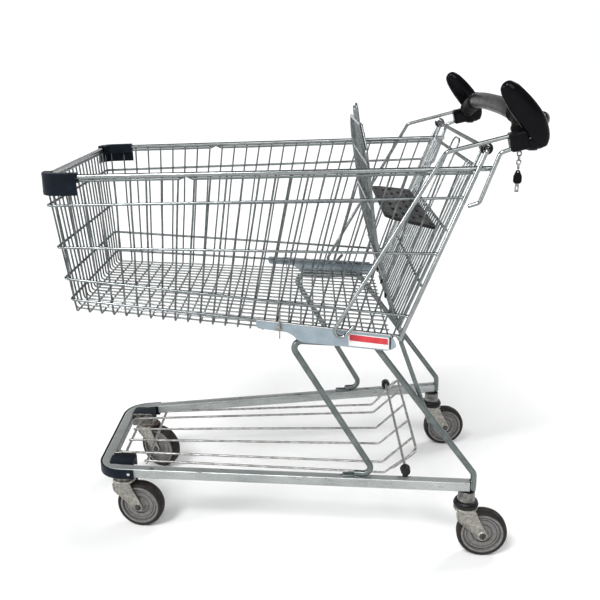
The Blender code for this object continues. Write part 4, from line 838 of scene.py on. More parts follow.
def build_gate():
    """Wires, frame and top bar of the swinging gate."""
    thin = Shape()
    for part in spread((-0.955, 0.955), 21):
        top_s = GATE_SEAT_S - 0.004 if abs(part) < 0.6 else GATE_BAR_S - 0.003
        start = gate_point(top_s, part * gate_half(top_s))
        end = gate_point(GATE_FOOT_S + 0.003, part * gate_half(GATE_FOOT_S))
        thin.tube([start, *wavering(start, end, 0.0004), end], THIN, 10)
    loop = [gate_point(s, y * 0.035) for s, y in ((GATE_SEAT_S + 0.004, -1), (0.01, -1), (0.01, 1),
                                                   (GATE_SEAT_S + 0.004, 1))]
    thin.tube(bent(loop, 0.016, 8), 0.002, 12)
    thin.build("gate_wires", BRIGHT, "gate", slot="gate_grid")

    edge = 0.0029
    welded = THIN + edge - 0.002
    bars = Shape()
    for s in (GATE_SEAT_S, GATE_MIDDLE_S, GATE_FOOT_S):
        half = gate_half(s) + 0.001
        behind = THIN + edge + GAP if s == GATE_MIDDLE_S else welded
        bars.tube([gate_point(s, -half, -behind), gate_point(s, half, -behind)], edge, 14)
    for sign in (-1, 1):
        eye = []
        for step in range(15):
            a = math.radians(-110.0 + 330.0 * step / 14)
            eye.append(Vector((HINGE_X + EYE_RADIUS * math.cos(a), sign * gate_half(0.0),
                               HINGE_Z + EYE_RADIUS * math.sin(a))))
        bars.tube(eye, 0.0017, 10)
        bars.tube([gate_point(EYE_RADIUS, sign * gate_half(0.0)),
                   gate_point(GATE_FOOT_S + 0.005, sign * gate_half(GATE_FOOT_S))], edge, 14)
    bars.build("gate_frame", BRIGHT, "gate", ("gate_grid",))
    bar = Shape()
    half = gate_half(GATE_BAR_S) + 0.001
    ends = [gate_point(GATE_BAR_S, y, -welded) for y in (-half, -half + 0.012, half - 0.012, half)]
    bar.tube(ends, [edge * 0.85, edge * 1.25, edge * 1.25, edge * 0.85], 16)
    bar.build("gate_top_bar", BAR, "gate", slot="gate_grid")


def back_path(top_z):
    """Side view of one wire of the seat back, up to top_z."""
    if top_z <= BACK_KNEE[1]:
        return [BACK_FOOT, BACK_KNEE]
    top_x = along(top_z, (BACK_KNEE[1], BACK_TOP[1]), (BACK_KNEE[0], BACK_TOP[0]))
    return [BACK_FOOT, BACK_KNEE, (top_x, top_z)]


def back_x(z):
    """Where the seat back stands at height z."""
    if z < BACK_KNEE[1]:
        return along(z, (BACK_FOOT[1], BACK_KNEE[1]), (BACK_FOOT[0], BACK_KNEE[0]))
    return along(z, (BACK_KNEE[1], BACK_TOP[1]), (BACK_KNEE[0], BACK_TOP[0]))


def back_top(y):
    """Height of the seat back at y, lower beyond its level middle."""
    if abs(y) <= BACK_FLAT:
        return BACK_TOP[1]
    return along(abs(y), (BACK_FLAT, BACK_HALF), (BACK_TOP[1], BACK_SHOULDER_Z))


def build_seat_back():
    """Wires, frame and foot clips of the folding seat back."""
    wires = Shape()
    for index, y in enumerate(spread((-BACK_HALF + 0.01, BACK_HALF - 0.01), 17)):
        if index in (0, 16):
            continue
        top_z = back_top(y) - 0.0035
        path = bent([(x, y, z) for x, z in back_path(top_z)], 0.03, 4)
        upper = wavering(path[-2], path[-1], 0.0005, 2)
        wires.tube([*path[:-1], *upper, path[-1]], 0.002, 10)
    wires.twist(BACK_FOOT[1], SEAT_TWIST)
    wires.build("seat_back_wires", WIRE, "seat_back", slot="seat_back_grid")

    frame_wire = Shape()
    edge = 0.003
    ahead = 0.003
    side_half = BACK_HALF - 0.0095
    outline = []
    for sign in (-1, 1):
        part = [(x - ahead, sign * side_half, z) for x, z in back_path(back_top(side_half))]
        top = (BACK_TOP[0] - ahead, sign * 0.125, BACK_TOP[1] - 0.0041)
        side = [*part, top]
        outline += side if sign < 0 else side[::-1]
    frame_wire.tube(bent(outline, 0.014, 8), edge, 16)
    for z in (0.52, 0.6, 0.74, 0.826):
        gap = 0.003 if z in (0.52, 0.826) else 0.0053
        x = back_x(z) - gap
        half = BACK_HALF - 0.006
        frame_wire.tube([(x, -half, z), (x, half, z)], edge * 0.95, 14)
    for sign in (-1, 1):
        rise = []
        for y in (0.024, 0.048):
            rise.append((back_x(0.826) - 0.0005, sign * y, 0.826))
            high = 0.931 if sign < 0 else 0.921
            rise.append((back_x(high) - 0.0005, sign * y, high))
        rise = [rise[0], rise[1], rise[3], rise[2]]
        frame_wire.tube(bent(rise, 0.009, 8), 0.0026, 14)
    frame_wire.twist(BACK_FOOT[1], SEAT_TWIST)
    frame_wire.build("seat_back_frame", BRIGHT, "seat_back", ("seat_back_grid",))

    clips = Shape()
    for y in spread((-0.165, 0.165), 4):
        x = back_x(0.52) - 0.003
        clips.block((0.0105, 0.013, 0.011), (x, y, 0.52), None, 0.0022, 3)
    clips.build("seat_back_foot_clips", RUBBER, "seat_back", slot="seat_plate")


def build_seat_plate():
    """Slotted flap plate of the child seat."""
    pivot, front = (0.2925, 0.706), (0.196, 0.722)
    lean = math.atan2(front[1] - pivot[1], pivot[0] - front[0])
    length = math.hypot(pivot[0] - front[0], front[1] - pivot[1])
    corner = 0.018
    outline = rounded([
        (0.0, -0.225), (0.0, 0.225), (length - corner, 0.175 + corner),
        (length, 0.175), (length, -0.175), (length - corner, -0.175 - corner),
    ], 0.008, 4)
    slots = []
    for row, distance in enumerate((0.02, 0.038, 0.056, 0.074)):
        for y in spread((-0.15, 0.15), 6):
            shift = 0.026 * (row % 2) - 0.013
            slots.append(rounded([
                (distance - 0.0028, y + shift - 0.0125), (distance + 0.0028, y + shift - 0.0125),
                (distance + 0.0028, y + shift + 0.0125), (distance - 0.0028, y + shift + 0.0125),
            ], 0.0026, 4)[::-1])
    tilt = Matrix.Rotation(math.radians(180.0), 4, "Z") @ Matrix.Rotation(-lean, 4, "Y")
    move = Matrix.Translation((pivot[0], 0.0, pivot[1])) @ tilt @ Matrix.Translation((0.006, 0.0, 0.0))
    seat = Shape()
    seat.plate([outline, *slots], 0.006, 0.0009, move)
    lip = 0.0018
    for y in (-0.105, 0.0, 0.105):
        seat.block((length - 0.02, 0.003, 0.0014), move @ Vector((length / 2, y, -0.0034)),
                   Matrix.Rotation(lean, 4, "Y"), 0.0005, 2)
    # hooks at the front edge, and knuckles round the gate wire at the rear one
    for y in (-0.15, -0.05, 0.05, 0.15):
        seat.block((0.013, 0.015, 0.0075), move @ Vector((length - 0.0065, y, 0.0)),
                   Matrix.Rotation(lean, 4, "Y"), lip, 3)
    for y in (-0.195, -0.1, 0.0, 0.1, 0.195):
        seat.block((0.011, 0.024, 0.0078), move @ Vector((0.0055, y, 0.0)),
                   Matrix.Rotation(lean, 4, "Y"), lip, 3)
    seat.build("seat_plate_slotted", SEAT, "seat", ("seat_plate",), 30.0)


# ---------------------------------------------------------------- chassis
def build_chassis():
    """Chassis rail and its weld beads, then its front corners."""
    half = RAIL_SIZE / 2
    mid = RAIL_TOP_Z[0] - half
    slope = (RAIL_TOP_Z[1] - RAIL_TOP_Z[0]) / (RAIL_END_X - RAIL_FRONT_X)
    corners = []
    for x, sign in ((RAIL_END_X, -1), (RAIL_FRONT_X, -1), (RAIL_FRONT_X, 1), (RAIL_END_X, 1)):
        corners.append((x, sign * rail_y(x), mid + slope * (x - RAIL_FRONT_X)))
    path = bent(corners, RAIL_CORNER, 14)
    square = rounded([(-half, -half), (half, -half), (half, half), (-half, half)], 0.0042, 4)
    rail = Shape()
    rail.sweep(path, square)
    rail.build("chassis_rail", FRAME, "cart_frame", ("chassis_frame",))

    beads = Shape()
    for sign in (-1, 1):
        for x, size in ((0.1235, (0.01, 0.0022, 0.0022)), (0.145, (0.0085, 0.0022, 0.002))):
            for side in (-1, 1):
                y = sign * rail_y(x) + side * 0.0056
                beads.ball((x, y, rail_top(x) + 0.0016), size, 10)
        top = rail_top(RAIL_END_X) - 0.01
        for side in (-1, 1):
            beads.ball((POST_X - 0.005, sign * rail_y(RAIL_END_X) + side * 0.0062, top),
                       (0.0026, 0.0022, 0.01), 10)
        beads.ball((POST_X - 0.0055, sign * rail_y(RAIL_END_X), rail_top(RAIL_END_X) + 0.0006),
                   (0.0034, 0.006, 0.0022), 10)
    beads.build("frame_weld_beads", TUBE, "cart_frame", slot="chassis_frame")
    outside = half + GAP + PAD_SKIN
    build_corner_pads(half, mid, slope, outside)
    build_sockets(half, mid)
    build_pad_screws(mid, outside)


def build_corner_pads(half, mid, slope, outside):
    """Plastic skins round the front corners, with the lid over each caster's socket; the outer skin runs
    on along the whole front rail as a dark strip, painted shade for the rail's shaded front face.
    """
    inside = half + GAP
    pad = Shape()

    def arc(length_front, length_side):
        side_x = RAIL_FRONT_X + length_side
        return bent([
            (RAIL_FRONT_X, -(rail_y(RAIL_FRONT_X) - length_front), mid - 0.001),
            (RAIL_FRONT_X, -rail_y(RAIL_FRONT_X), mid - 0.001),
            (side_x, -rail_y(side_x), mid - 0.001 + slope * length_side),
        ], RAIL_CORNER, 14)

    skin = rounded([(-outside, -half - 0.0005), (-inside, -half - 0.0005), (-inside, half + 0.0005),
                    (-outside, half + 0.0005)], 0.0016, 3)
    # past the corner the outer skin carries on along the whole front rail; there it is painted shade, a
    # dark strip standing for the rail's shaded front face
    pad.sweep(arc(0.1572, 0.072), skin)
    liner = rounded([(inside, -half - 0.0005), (outside, -half - 0.0005), (outside, half + 0.0005),
                     (inside, half + 0.0005)], 0.0016, 3)
    pad.sweep(arc(0.048, 0.066), liner)
    pad.block((0.018, 2 * outside - 0.003, 0.0016),
              (RAIL_FRONT_X + 0.062, -rail_y(RAIL_FRONT_X + 0.062), mid - half - 0.0012 + slope * 0.062),
              None, 0.0005, 2)
    # lid over the caster's socket, in the bend of the rail
    lid = [(-0.409, -0.15), (-0.356, -0.15), (-0.353, -0.104), (-0.411, -0.104)]
    pad.plate([rounded(lid, 0.011, 6)], 0.007, 0.0014,
              Matrix.Translation((0.0, 0.0, mid + half - 0.0024)))
    build_pair(pad, "corner_pad_shell", PAD, "corner_pad")


def build_sockets(half, mid):
    """Pressed metal sockets under the lids, with a lip round a dark rivet."""
    socket = Shape()
    wall = rounded([(-0.026, -0.03), (0.026, -0.03), (0.026, -0.002), (0.02, 0.0),
                    (-0.026, 0.0)], 0.004, 4)
    face = Matrix.Translation((-0.382, -0.1018, mid + half + 0.003)) @ ALONG_Y
    socket.plate([wall], 0.0022, 0.0006, face)
    lip = [face @ Vector(point) for point in ((-0.024, -0.0002, -0.0004), (0.018, -0.0002, -0.0004),
                                              (0.025, -0.005, -0.0004), (0.0252, -0.028, -0.0004))]
    socket.tube(bent(lip, 0.005, 5), 0.0016, 10)
    socket.tube([face @ Vector((-0.0255, -0.0292, -0.0004)), face @ Vector((0.0255, -0.0292, -0.0004))],
                0.0014, 10)
    build_pair(socket, "caster_socket_wall", STEM, slot="chassis_frame")
    rivet = Shape()
    rivet.lathe([(0.0, 0.0028), (0.0026, 0.0026), (0.0052, 0.0014), (0.006, 0.0), (0.0, 0.0)], 24,
                face @ Matrix.Translation((-0.01, -0.009, -0.0008))
                @ Matrix.Rotation(math.pi, 4, "X"))
    build_pair(rivet, "caster_socket_rivet", BOLT, slot="chassis_frame")


def build_pad_screws(mid, outside):
    """Screw on the outer face of each corner pad."""
    screw = Shape()
    x = RAIL_FRONT_X + 0.06
    y = -(rail_y(x) + outside + 0.0002)
    screw.lathe([(0.0, 0.0016), (0.0022, 0.0013), (0.0033, 0.0004), (0.0034, -0.001), (0.0, -0.001)],
                20, Matrix.Translation((x, y, mid + 0.0015)) @ ALONG_Y)
    build_pair(screw, "corner_pad_screw", CHROME, slot="corner_pad_{}")


def build_legs():
    """Front legs, rear posts and braces."""
    for name, sign in SIDES:
        top_y = 0.2455
        foot_z = rail_top(0.118) + LEG_RADIUS + GAP + 0.0016
        path = bent([
            (0.15, sign * (top_y + 0.012), 0.48), (-0.002, sign * top_y, 0.483),
            (0.183, sign * rail_y(0.183), foot_z), (0.118, sign * rail_y(0.118), foot_z),
        ], 0.016, 10)
        leg = Shape()
        # the last stretch is pressed flat where it is welded to the rail
        leg.tube(path[:-1] + [Vector(path[-1]).lerp(Vector(path[-2]), 0.55)], LEG_RADIUS, 24)
        flat_z = rail_top(0.11) + 0.003
        leg.block((0.03, 0.015, 0.0052), (0.1275, sign * rail_y(0.1275), flat_z + 0.001),
                  Matrix.Rotation(-0.031, 4, "Y"), 0.002, 4)
        leg.build(f"front_leg_tube_{name}", TUBE, "cart_frame", (f"front_leg_{name}",))
        post_foot = rail_top(RAIL_END_X) - RAIL_SIZE + 0.001
        path = bent([
            (0.154, sign * (top_y + 0.0125), 0.48), (0.172, sign * (top_y + 0.014), 0.477),
            (POST_X, sign * rail_y(RAIL_END_X), 0.192), (POST_X, sign * rail_y(RAIL_END_X), post_foot),
        ], 0.018, 10)
        post = Shape()
        post.tube(path, LEG_RADIUS, 24)
        post.build(f"rear_post_tube_{name}", TUBE, "cart_frame", (f"rear_post_{name}",))

        top = Vector((0.224, 0.0, 0.48))
        foot = Vector((0.289, 0.0, 0.305))
        run = (foot - top).normalized()
        side = Vector((run.z, 0.0, -run.x)) * 0.0045
        outline = []
        for end, out, turn in ((top, -run, 1), (foot, run, -1)):
            for step in range(13):
                a = math.pi * step / 12
                point = end + side * (math.cos(a) * turn) + out * (math.sin(a) * 0.0045)
                outline.append((point.x, point.z))
        brace = Shape()
        brace.plate([outline], 0.002, 0.0005, Matrix.Translation((0.0, sign * 0.2455, 0.0)) @ ALONG_Y)
        for end in (top, foot):
            brace.lathe([(0.0, 0.0022), (0.0018, 0.002), (0.003, 0.0008), (0.003, -0.0008),
                         (0.0018, -0.002), (0.0, -0.0022)], 16,
                        Matrix.Translation((end.x, sign * 0.2455, end.z)) @ ALONG_Y)
        brace.build(f"post_brace_strip_{name}", TUBE, "cart_frame", (f"post_brace_{name}",))


def build_tray():
    """Wires, rods and stops of the lower tray."""
    wire, rod = 0.0026, 0.003
    tray_z = 0.1485
    bend_x, end_x, end_z = 0.206, 0.276, 0.212
    below = 0.0032
    wires = Shape()
    for start_x, front_y, rear_y, end_y in ((-0.332, 0.129, 0.177, 0.195),
                                            (-0.389, 0.028, 0.041, 0.044)):
        for sign in (-1, 1):
            path = [(start_x, sign * front_y, tray_z), (bend_x, sign * rear_y, tray_z),
                    (end_x - 0.004, sign * end_y, end_z - 0.002)]
            line = bent(path, 0.012, 6)
            runs = wavering(line[0], line[1], 0.0006, 6)
            wires.tube([line[0], *runs, *line[1:]], wire, 12)
    nose = bent([
        (end_x - 0.004, -0.13, end_z - 0.002), (bend_x, -0.13, tray_z), (-0.401, -0.087, tray_z),
        (-0.401, 0.087, tray_z), (bend_x, 0.13, tray_z), (end_x - 0.004, 0.13, end_z - 0.002),
    ], 0.014, 7)
    wires.tube(nose, wire, 12)
    wires.build("tray_long_wires", WORN, "tray", ("tray_grid",))
    rods = Shape()
    stop_x, stop_y, stop_radius = 0.246, 0.2315, 0.0115
    stop_z = along(stop_x, (bend_x, end_x), (tray_z, end_z)) + below
    rods.tube([(-0.384, -0.098, tray_z - below), (-0.384, 0.098, tray_z - below)], rod, 14)
    rods.tube([(-0.327, -0.134, tray_z - below), (-0.327, 0.134, tray_z - below)], rod, 14)
    reach = stop_y - stop_radius * 0.5
    rods.tube([(stop_x, -reach, stop_z), (stop_x, reach, stop_z)], rod, 14)
    low_x = bend_x + 0.018
    low_z = along(low_x, (bend_x, end_x), (tray_z, end_z)) + 0.001
    end_wire = [(low_x, -0.186, low_z), (end_x - 0.003, -0.199, end_z + 0.001),
                (end_x - 0.003, 0.199, end_z + 0.001), (low_x, 0.186, low_z)]
    rods.tube(bent(end_wire, 0.016, 8), rod, 14)
    rods.build("tray_cross_rods", WORN, "tray", slot="tray_grid")
    for name, sign in SIDES:
        centre = Vector((stop_x, sign * stop_y, rail_top(stop_x) + stop_radius + GAP))
        stop = Shape()
        # a barrel round the rod's end, with a waist and a foot that rests on the rail
        barrel = [(0.0, 0.0112), (0.005, 0.011), (0.0078, 0.0092), (0.0086, 0.006), (0.007, 0.003),
                  (0.007, 0.0), (0.009, -0.003), (0.0094, -0.007), (0.008, -0.01),
                  (0.0045, -0.0112), (0.0, -0.0112)]
        stop.lathe([(r * 1.18, h * 0.98) for r, h in barrel], 24,
                   Matrix.Translation(centre + Vector((0, 0, 0.0022))) @ ALONG_Y
                   @ Matrix.Diagonal((1.0, 1.0, -sign, 1.0)))
        stop.lathe([(0.0, 0.0), (0.0062, 0.0), (0.0068, -0.004), (0.0056, -0.008), (0.0062, -0.0112),
                    (0.0, -0.0112)], 20, Matrix.Translation(centre))
        stop.build(f"tray_rubber_stop_{name}", RUBBER, "tray", (f"tray_stop_{name}",))


# ---------------------------------------------------------------- casters
def build_casters():
    """Housing, fork and wheel of each caster."""
    for name, x, y, degrees in CASTERS:
        swivel = Matrix.Translation((x, y, 0.0)) @ Matrix.Rotation(math.radians(degrees), 4, "Z")
        wheel = swivel @ Matrix.Translation((TRAIL, 0.0, WHEEL_RADIUS)) @ ALONG_Y
        build_housing(name, x, y)
        build_fork(name, swivel, wheel)
        build_wheel(name, wheel)


def build_housing(name, x, y):
    """Stem and bearing ring of one caster, and what holds them to the chassis."""
    under = rail_top(x - 0.0265) - RAIL_SIZE - 0.0006
    low = CROWN_TOP + GAP
    fixed = Matrix.Translation((x, y, 0.0))
    if x < 0.0:
        top = under - 0.0018
        cup = Shape()
        cup.lathe([(0.0, top), (0.0185, top), (0.02, top - 0.0008), (0.0205, top - 0.004),
                   (0.0214, low + 0.003), (0.021, low), (0.0, low)], 48, fixed)
        cup.build(f"caster_cup_{name}", STEM, "cart_frame", (f"caster_housing_{name}",))
        # round end plate of the stem socket, with its hollow rivet
        plate = Shape()
        disc_z = under - 0.0016
        plate.lathe([(0.0, disc_z), (0.003, disc_z), (0.0034, disc_z + 0.001), (0.007, disc_z + 0.0012),
                     (0.0078, disc_z + 0.0004), (0.0195, disc_z + 0.0006), (0.021, disc_z + 0.001),
                     (0.0216, disc_z), (0.0, disc_z - 0.0008)], 48, fixed)
        plate.build(f"caster_socket_{name}", FRAME, "cart_frame", slot=f"caster_housing_{name}")
        return
    stem = Shape()
    stem.lathe([(0.0, under), (0.0165, under), (0.0178, under - 0.0012), (0.0178, low + 0.0185),
                (0.019, low + 0.0165), (0.019, low + 0.014), (0.0, low + 0.014)], 48, fixed)
    stem.build(f"caster_stem_{name}", STEM, "cart_frame", (f"caster_housing_{name}",))
    ring = Shape()
    ring.lathe([(0.0, low + 0.015), (0.0205, low + 0.0148), (0.0238, low + 0.0128), (0.025, low + 0.0105),
                (0.024, low + 0.009), (0.0262, low + 0.0074), (0.0264, low + 0.004),
                (0.025, low + 0.0016), (0.0232, low), (0.0, low)], 48, fixed)
    ring.build(f"caster_bearing_ring_{name}", RUBBER, "cart_frame", slot=f"tyre_{name}")


def build_fork(name, swivel, wheel):
    """Crown, legs and axle bolt of one caster's fork."""
    crown = Shape()
    top = CROWN_TOP
    crown.lathe([(0.0, top), (0.0215, top), (0.0245, top - 0.001), (0.0259, top - 0.0034),
                 (0.0256, top - 0.006), (0.024, top - 0.0074), (0.0, top - 0.0074)], 48, swivel)
    # bearing cone under the crown
    crown.lathe([(0.0, top - 0.007), (0.015, top - 0.007), (0.0162, top - 0.0085),
                 (0.013, top - 0.0098), (0.0, top - 0.0098)], 32, swivel)
    finish = RUSTY if name == "front_right" else FORK
    crown.build(f"fork_crown_{name}", finish, f"fork_{name}", slot=f"fork_{name}")

    legs = Shape()
    inside, thick = 0.0185, 0.003
    head = top - 0.0035
    outline = [(-0.0205, head), (0.0205, head), (0.0252, head - 0.014)]
    for step in range(13):
        a = math.radians(33.0 - 17.5 * step)
        outline.append((TRAIL + 0.0108 * math.cos(a), WHEEL_RADIUS + 0.0108 * math.sin(a)))
    outline.append((-0.015, head - 0.024))
    outline.append((-0.0215, head - 0.012))
    shaped = rounded(outline[::-1], 0.0055, 4)
    for sign in (-1, 1):
        at = Matrix.Translation((0.0, sign * (inside + thick / 2), 0.0)) @ ALONG_Y
        legs.plate([shaped], thick, 0.0007, swivel @ at)
        # pressed flange along the leading edge, and a raised boss round the bolt
        edge = [(-0.0185, sign * (inside + thick), head - 0.006),
                (-0.016, sign * (inside + thick), head - 0.022),
                (0.006, sign * (inside + thick), WHEEL_RADIUS + 0.0175),
                (0.029, sign * (inside + thick), WHEEL_RADIUS - 0.005)]
        legs.tube([swivel @ point for point in curved(edge, 6)], 0.0015, 8)
        legs.lathe([(0.0, 0.0012), (0.009, 0.001), (0.01, 0.0), (0.0, 0.0)], 32,
                   swivel @ Matrix.Translation((TRAIL, sign * (inside + thick), WHEEL_RADIUS)) @
                   Matrix.Rotation(math.radians(90.0 if sign < 0 else -90.0), 4, "X"))
    legs.build(f"fork_legs_{name}", FORK, f"fork_{name}", (f"fork_{name}",))

    bolt = Shape()
    out = inside + thick + GAP
    for sign in (-1, 1):
        turn = wheel @ Matrix.Diagonal((1.0, 1.0, sign, 1.0))
        bolt.lathe([(0.0, out + 0.0038), (0.003, out + 0.0038), (0.0036, out + 0.003),
                    (0.0062, out + 0.0028), (0.007, out + 0.0018), (0.0074, out + 0.0006),
                    (0.0088, out + 0.0006), (0.0088, out - 0.0002), (0.0, out - 0.0002)], 24, turn)
    bolt.lathe([(0.0, out), (0.004, out), (0.004, -out), (0.0, -out)], 20, wheel)
    bolt.build(f"axle_bolt_{name}", BOLT, f"fork_{name}", (f"axle_{name}",))


def build_wheel(name, wheel):
    """Hub and tyre of one caster."""
    body = f"wheel_{name}"
    side = [(0.045, 0.0118), (0.0446, 0.0132), (0.043, 0.0138), (0.0402, 0.0134), (0.0396, 0.012),
            (0.0393, 0.0066), (0.038, 0.0066), (0.0376, 0.009), (0.0364, 0.0098), (0.033, 0.0096),
            (0.0324, 0.0072), (0.0314, 0.0072), (0.0308, 0.0096), (0.0258, 0.0098), (0.0232, 0.0104),
            (0.0222, 0.0098), (0.0218, 0.0058), (0.0205, 0.0058), (0.02, 0.0078), (0.015, 0.0078),
            (0.0138, 0.0088), (0.0118, 0.0132), (0.0108, 0.014), (0.0046, 0.014)]
    hub = Shape()
    hub.lathe(side + [(r, -h) for r, h in side[::-1]], 64, wheel, closed=True)
    hub.build(f"hub_rings_{name}", HUB, body, (f"hub_{name}",), 50.0)
    tyre = Shape()
    half = [(0.0453, 0.0124), (0.0462, 0.0136), (0.0478, 0.0144), (0.0494, 0.0141), (0.051, 0.0128),
            (0.0524, 0.0104), (0.0532, 0.007), (0.0535, 0.0032), (0.0535, 0.0006), (0.0531, 0.0)]
    tyre.lathe(half + [(r, -h) for r, h in half[-2::-1]], 96, wheel, closed=True)
    tyre.build(f"tyre_tread_{name}", TYRE, body, (f"tyre_{name}",), 50.0)


# ---------------------------------------------------------------- handle and coin key


def build_horn():
    """Left horn: a flattened wing with a rim along its front edge."""
    knots = [Vector((x, z, r)) for x, z, r in HORN_SPINE]
    line = curved(knots, 5)
    sides = 40
    rings = []
    for index, knot in enumerate(line):
        before, after = line[max(index - 1, 0)], line[min(index + 1, len(line) - 1)]
        aim = Vector((after.x - before.x, 0.0, after.y - before.y)).normalized()
        across = Vector((-aim.z, 0.0, aim.x))
        share = index / (len(line) - 1)
        ridge = max(0.0, math.sin(math.pi * min(1.0, max(0.0, (share - 0.12) / 0.8)))) ** 0.6
        ring = []
        for k in range(sides):
            a = 2 * math.pi * k / sides
            size = knot.z * (1.0 + 0.03 * math.cos(2 * a))
            dip = math.exp(-(((a - math.radians(132.0)) / 0.2) ** 2))
            dip += 0.8 * math.exp(-(((a - math.radians(228.0)) / 0.22) ** 2))
            size *= 1.0 - 0.085 * ridge * dip
            sideways = -0.72 * math.sin(a) * size
            ring.append(Vector((knot.x, -HORN_Y, knot.y)) + across * (-math.cos(a) * size)
                        + Vector((0.0, sideways, 0.0)))
        rings.append(ring)
    horn = Shape()
    horn.rings(rings)
    lobe = [(0.448, -HORN_Y + 0.005, 0.913), (0.456, -HORN_Y + 0.018, 0.9165),
            (0.46, -HORN_Y + 0.027, 0.9185), (0.4615, -HORN_Y + 0.03, 0.9192),
            (0.462, -HORN_Y + 0.0318, 0.9195)]
    neck = [(0.429, -0.2915, 0.88), (0.434, -0.2915, 0.88), (0.44, -0.2918, 0.8806),
            (0.446, -0.2922, 0.8812)]
    horn.tube(neck, [0.0135, 0.015, 0.0158, 0.016], 28, 0.8)
    horn.tube(curved(lobe, 4), [0.013 + 0.0015 * min(1.0, k / 4) if k < 11 else
                                0.014 * math.sqrt(max(0.02, 1.0 - ((k - 10) / 6.2) ** 2))
                                for k in range(17)], 24)
    return horn


def build_handle():
    """Blocks, horns and grip of the handle."""
    horn = build_horn()
    build_pair(horn, "handle_wing", GLOSS, "handle_horn", sharp=60.0)

    block = Shape()
    tilt = Matrix.Rotation(math.radians(-13.0), 4, "Y")
    centre = Vector(BLOCK_CENTRE)
    block.block(BLOCK_SIZE, centre, tilt, 0.0048, 6)
    block.block((0.029, 0.0286, 0.0012), centre + Vector((0.0004, 0.0, 0.0085)), tilt, 0.0004, 2)
    block.lathe([(0.0, 0.0006), (0.0028, 0.0006), (0.0036, 0.0), (0.0036, -0.001), (0.0, -0.001)], 20,
                Matrix.Translation(centre + Vector((0.0, -0.014, -0.004))) @ ALONG_Y)
    build_pair(block, "handle_block_shell", GLOSS, "handle_block")

    points = [(x, -y, z) for x, y, z in GRIP_PATH] + [(0.4285, 0.0, 0.9315)] + list(GRIP_PATH[::-1])
    line = curved(points, 24)
    lengths = [0.0]
    for before, after in zip(line, line[1:]):
        lengths.append(lengths[-1] + (after - before).length)
    grip_line, grip_size = [], []
    for point in line:
        y = abs(point.y)
        size = 0.0176
        if y > 0.232:
            size = 0.0165 + 0.001 * math.cos((y - 0.232) * 2 * math.pi / 0.0062)
        elif y > 0.206:
            size = 0.0168 + 0.0009 * math.cos((y - 0.206) * 2 * math.pi / 0.0065)
        elif y > 0.188:
            size = 0.0182 - 0.001 * (abs((y - 0.188) % 0.006 - 0.003) < 0.0009)
        elif y > 0.184:
            size = 0.0172
        grip_line.append(point)
        grip_size.append(size)
    grip = Shape()
    grip.tube(grip_line, grip_size, 40)
    grip.build("handle_grip_sleeve", GRIP, "cart_frame", ("handle_grip",), 60.0)

    # collars where the sleeve meets its bellows, and the bellows' ribs
    collars, ribs = Shape(), Shape()
    for offset, wire, reach, shape in (
        (0.185, 0.0022, 0.0176, collars), (0.196, 0.0013, 0.0182, collars),
        (0.2055, 0.0024, 0.0172, collars),
        (0.214, 0.0014, 0.0172, ribs), (0.2215, 0.0014, 0.0172, ribs), (0.2285, 0.0014, 0.0172, ribs),
        (0.235, 0.0014, 0.0172, ribs), (0.241, 0.0014, 0.0172, ribs), (0.2465, 0.0014, 0.017, ribs),
    ):
        for sign in (-1, 1):
            index = min(range(1, len(line) - 1), key=lambda k: abs(line[k].y - sign * offset))
            aim = (line[index + 1] - line[index - 1]).normalized()
            across = aim.cross(Vector((1.0, 0.0, 0.0))).normalized()
            other = aim.cross(across)
            hoop = [line[index] + (across * math.cos(a) + other * math.sin(a)) * reach
                    for a in (2 * math.pi * k / 36 for k in range(36))]
            shape.tube(hoop, wire, 8, loop=True, up=aim)
    collars.build("handle_grip_collars", GLOSS, "cart_frame", slot="handle_grip")
    ribs.build("handle_grip_ribs", RUBBER, "cart_frame", slot="handle_grip")


def build_coin_key():
    """Chain and key of the coin lock."""
    top = Vector((0.418, -0.291, 0.8651))
    link_half, wire = 0.0054, 0.0015
    chain = Shape()
    for index in range(4):
        centre = top - Vector((0.0, 0.0, (2 * link_half - 2 * wire) * index + link_half))
        side = Vector((1.0, 0.0, 0.0)) if index % 2 == 0 else Vector((0.0, 1.0, 0.0))
        loop = []
        for step in range(24):
            a = 2 * math.pi * step / 24
            bulge = 0.0036 * (abs(math.cos(a)) ** 0.7) * math.copysign(1.0, math.cos(a))
            loop.append(centre + side * bulge + Vector((0.0, 0.0, (link_half - wire) * math.sin(a))))
        chain.tube(loop, wire, 10, loop=True, up=side.cross(Vector((0, 0, 1))))
    chain.build("coin_chain_links", LINK, "coin_key", ("coin_chain",))
    body_top = top.z - 0.035
    outline = rounded([
        (-0.003, 0.0), (0.003, 0.0), (0.0042, -0.004), (0.0076, -0.011), (0.0076, -0.0215),
        (0.005, -0.0245), (-0.005, -0.0245), (-0.0076, -0.0215), (-0.0076, -0.011), (-0.0042, -0.004),
    ], 0.002, 3)
    hole = [(0.0013 * math.cos(-math.pi * k / 8), -0.0034 + 0.0013 * math.sin(-math.pi * k / 8))
            for k in range(16)]
    upright = Matrix.Translation((top.x, top.y, body_top)) @ ALONG_Y
    key = Shape()
    key.plate([outline, hole], 0.0078, 0.0016, upright)
    for height in (-0.013, -0.0165, -0.02):
        key.block((0.011, 0.0084, 0.001), (top.x, top.y, body_top + height), None, 0.0003, 2)
    key.build("coin_key_body", GLOSS, "coin_key", ("coin_key",))
    plug = Shape()
    slot_hole = rounded([(-0.0015, -0.036), (0.0015, -0.036), (0.0015, -0.03), (-0.0015, -0.03)],
                        0.0008, 3)
    shank = rounded([(-0.0036, -0.0235), (0.0036, -0.0235), (0.0036, -0.04), (-0.0036, -0.04)],
                    0.001, 3)
    plug.plate([shank, slot_hole[::-1]], 0.003, 0.0005, upright)
    plug.build("coin_key_plug", LINK, "coin_key", slot="coin_chain")


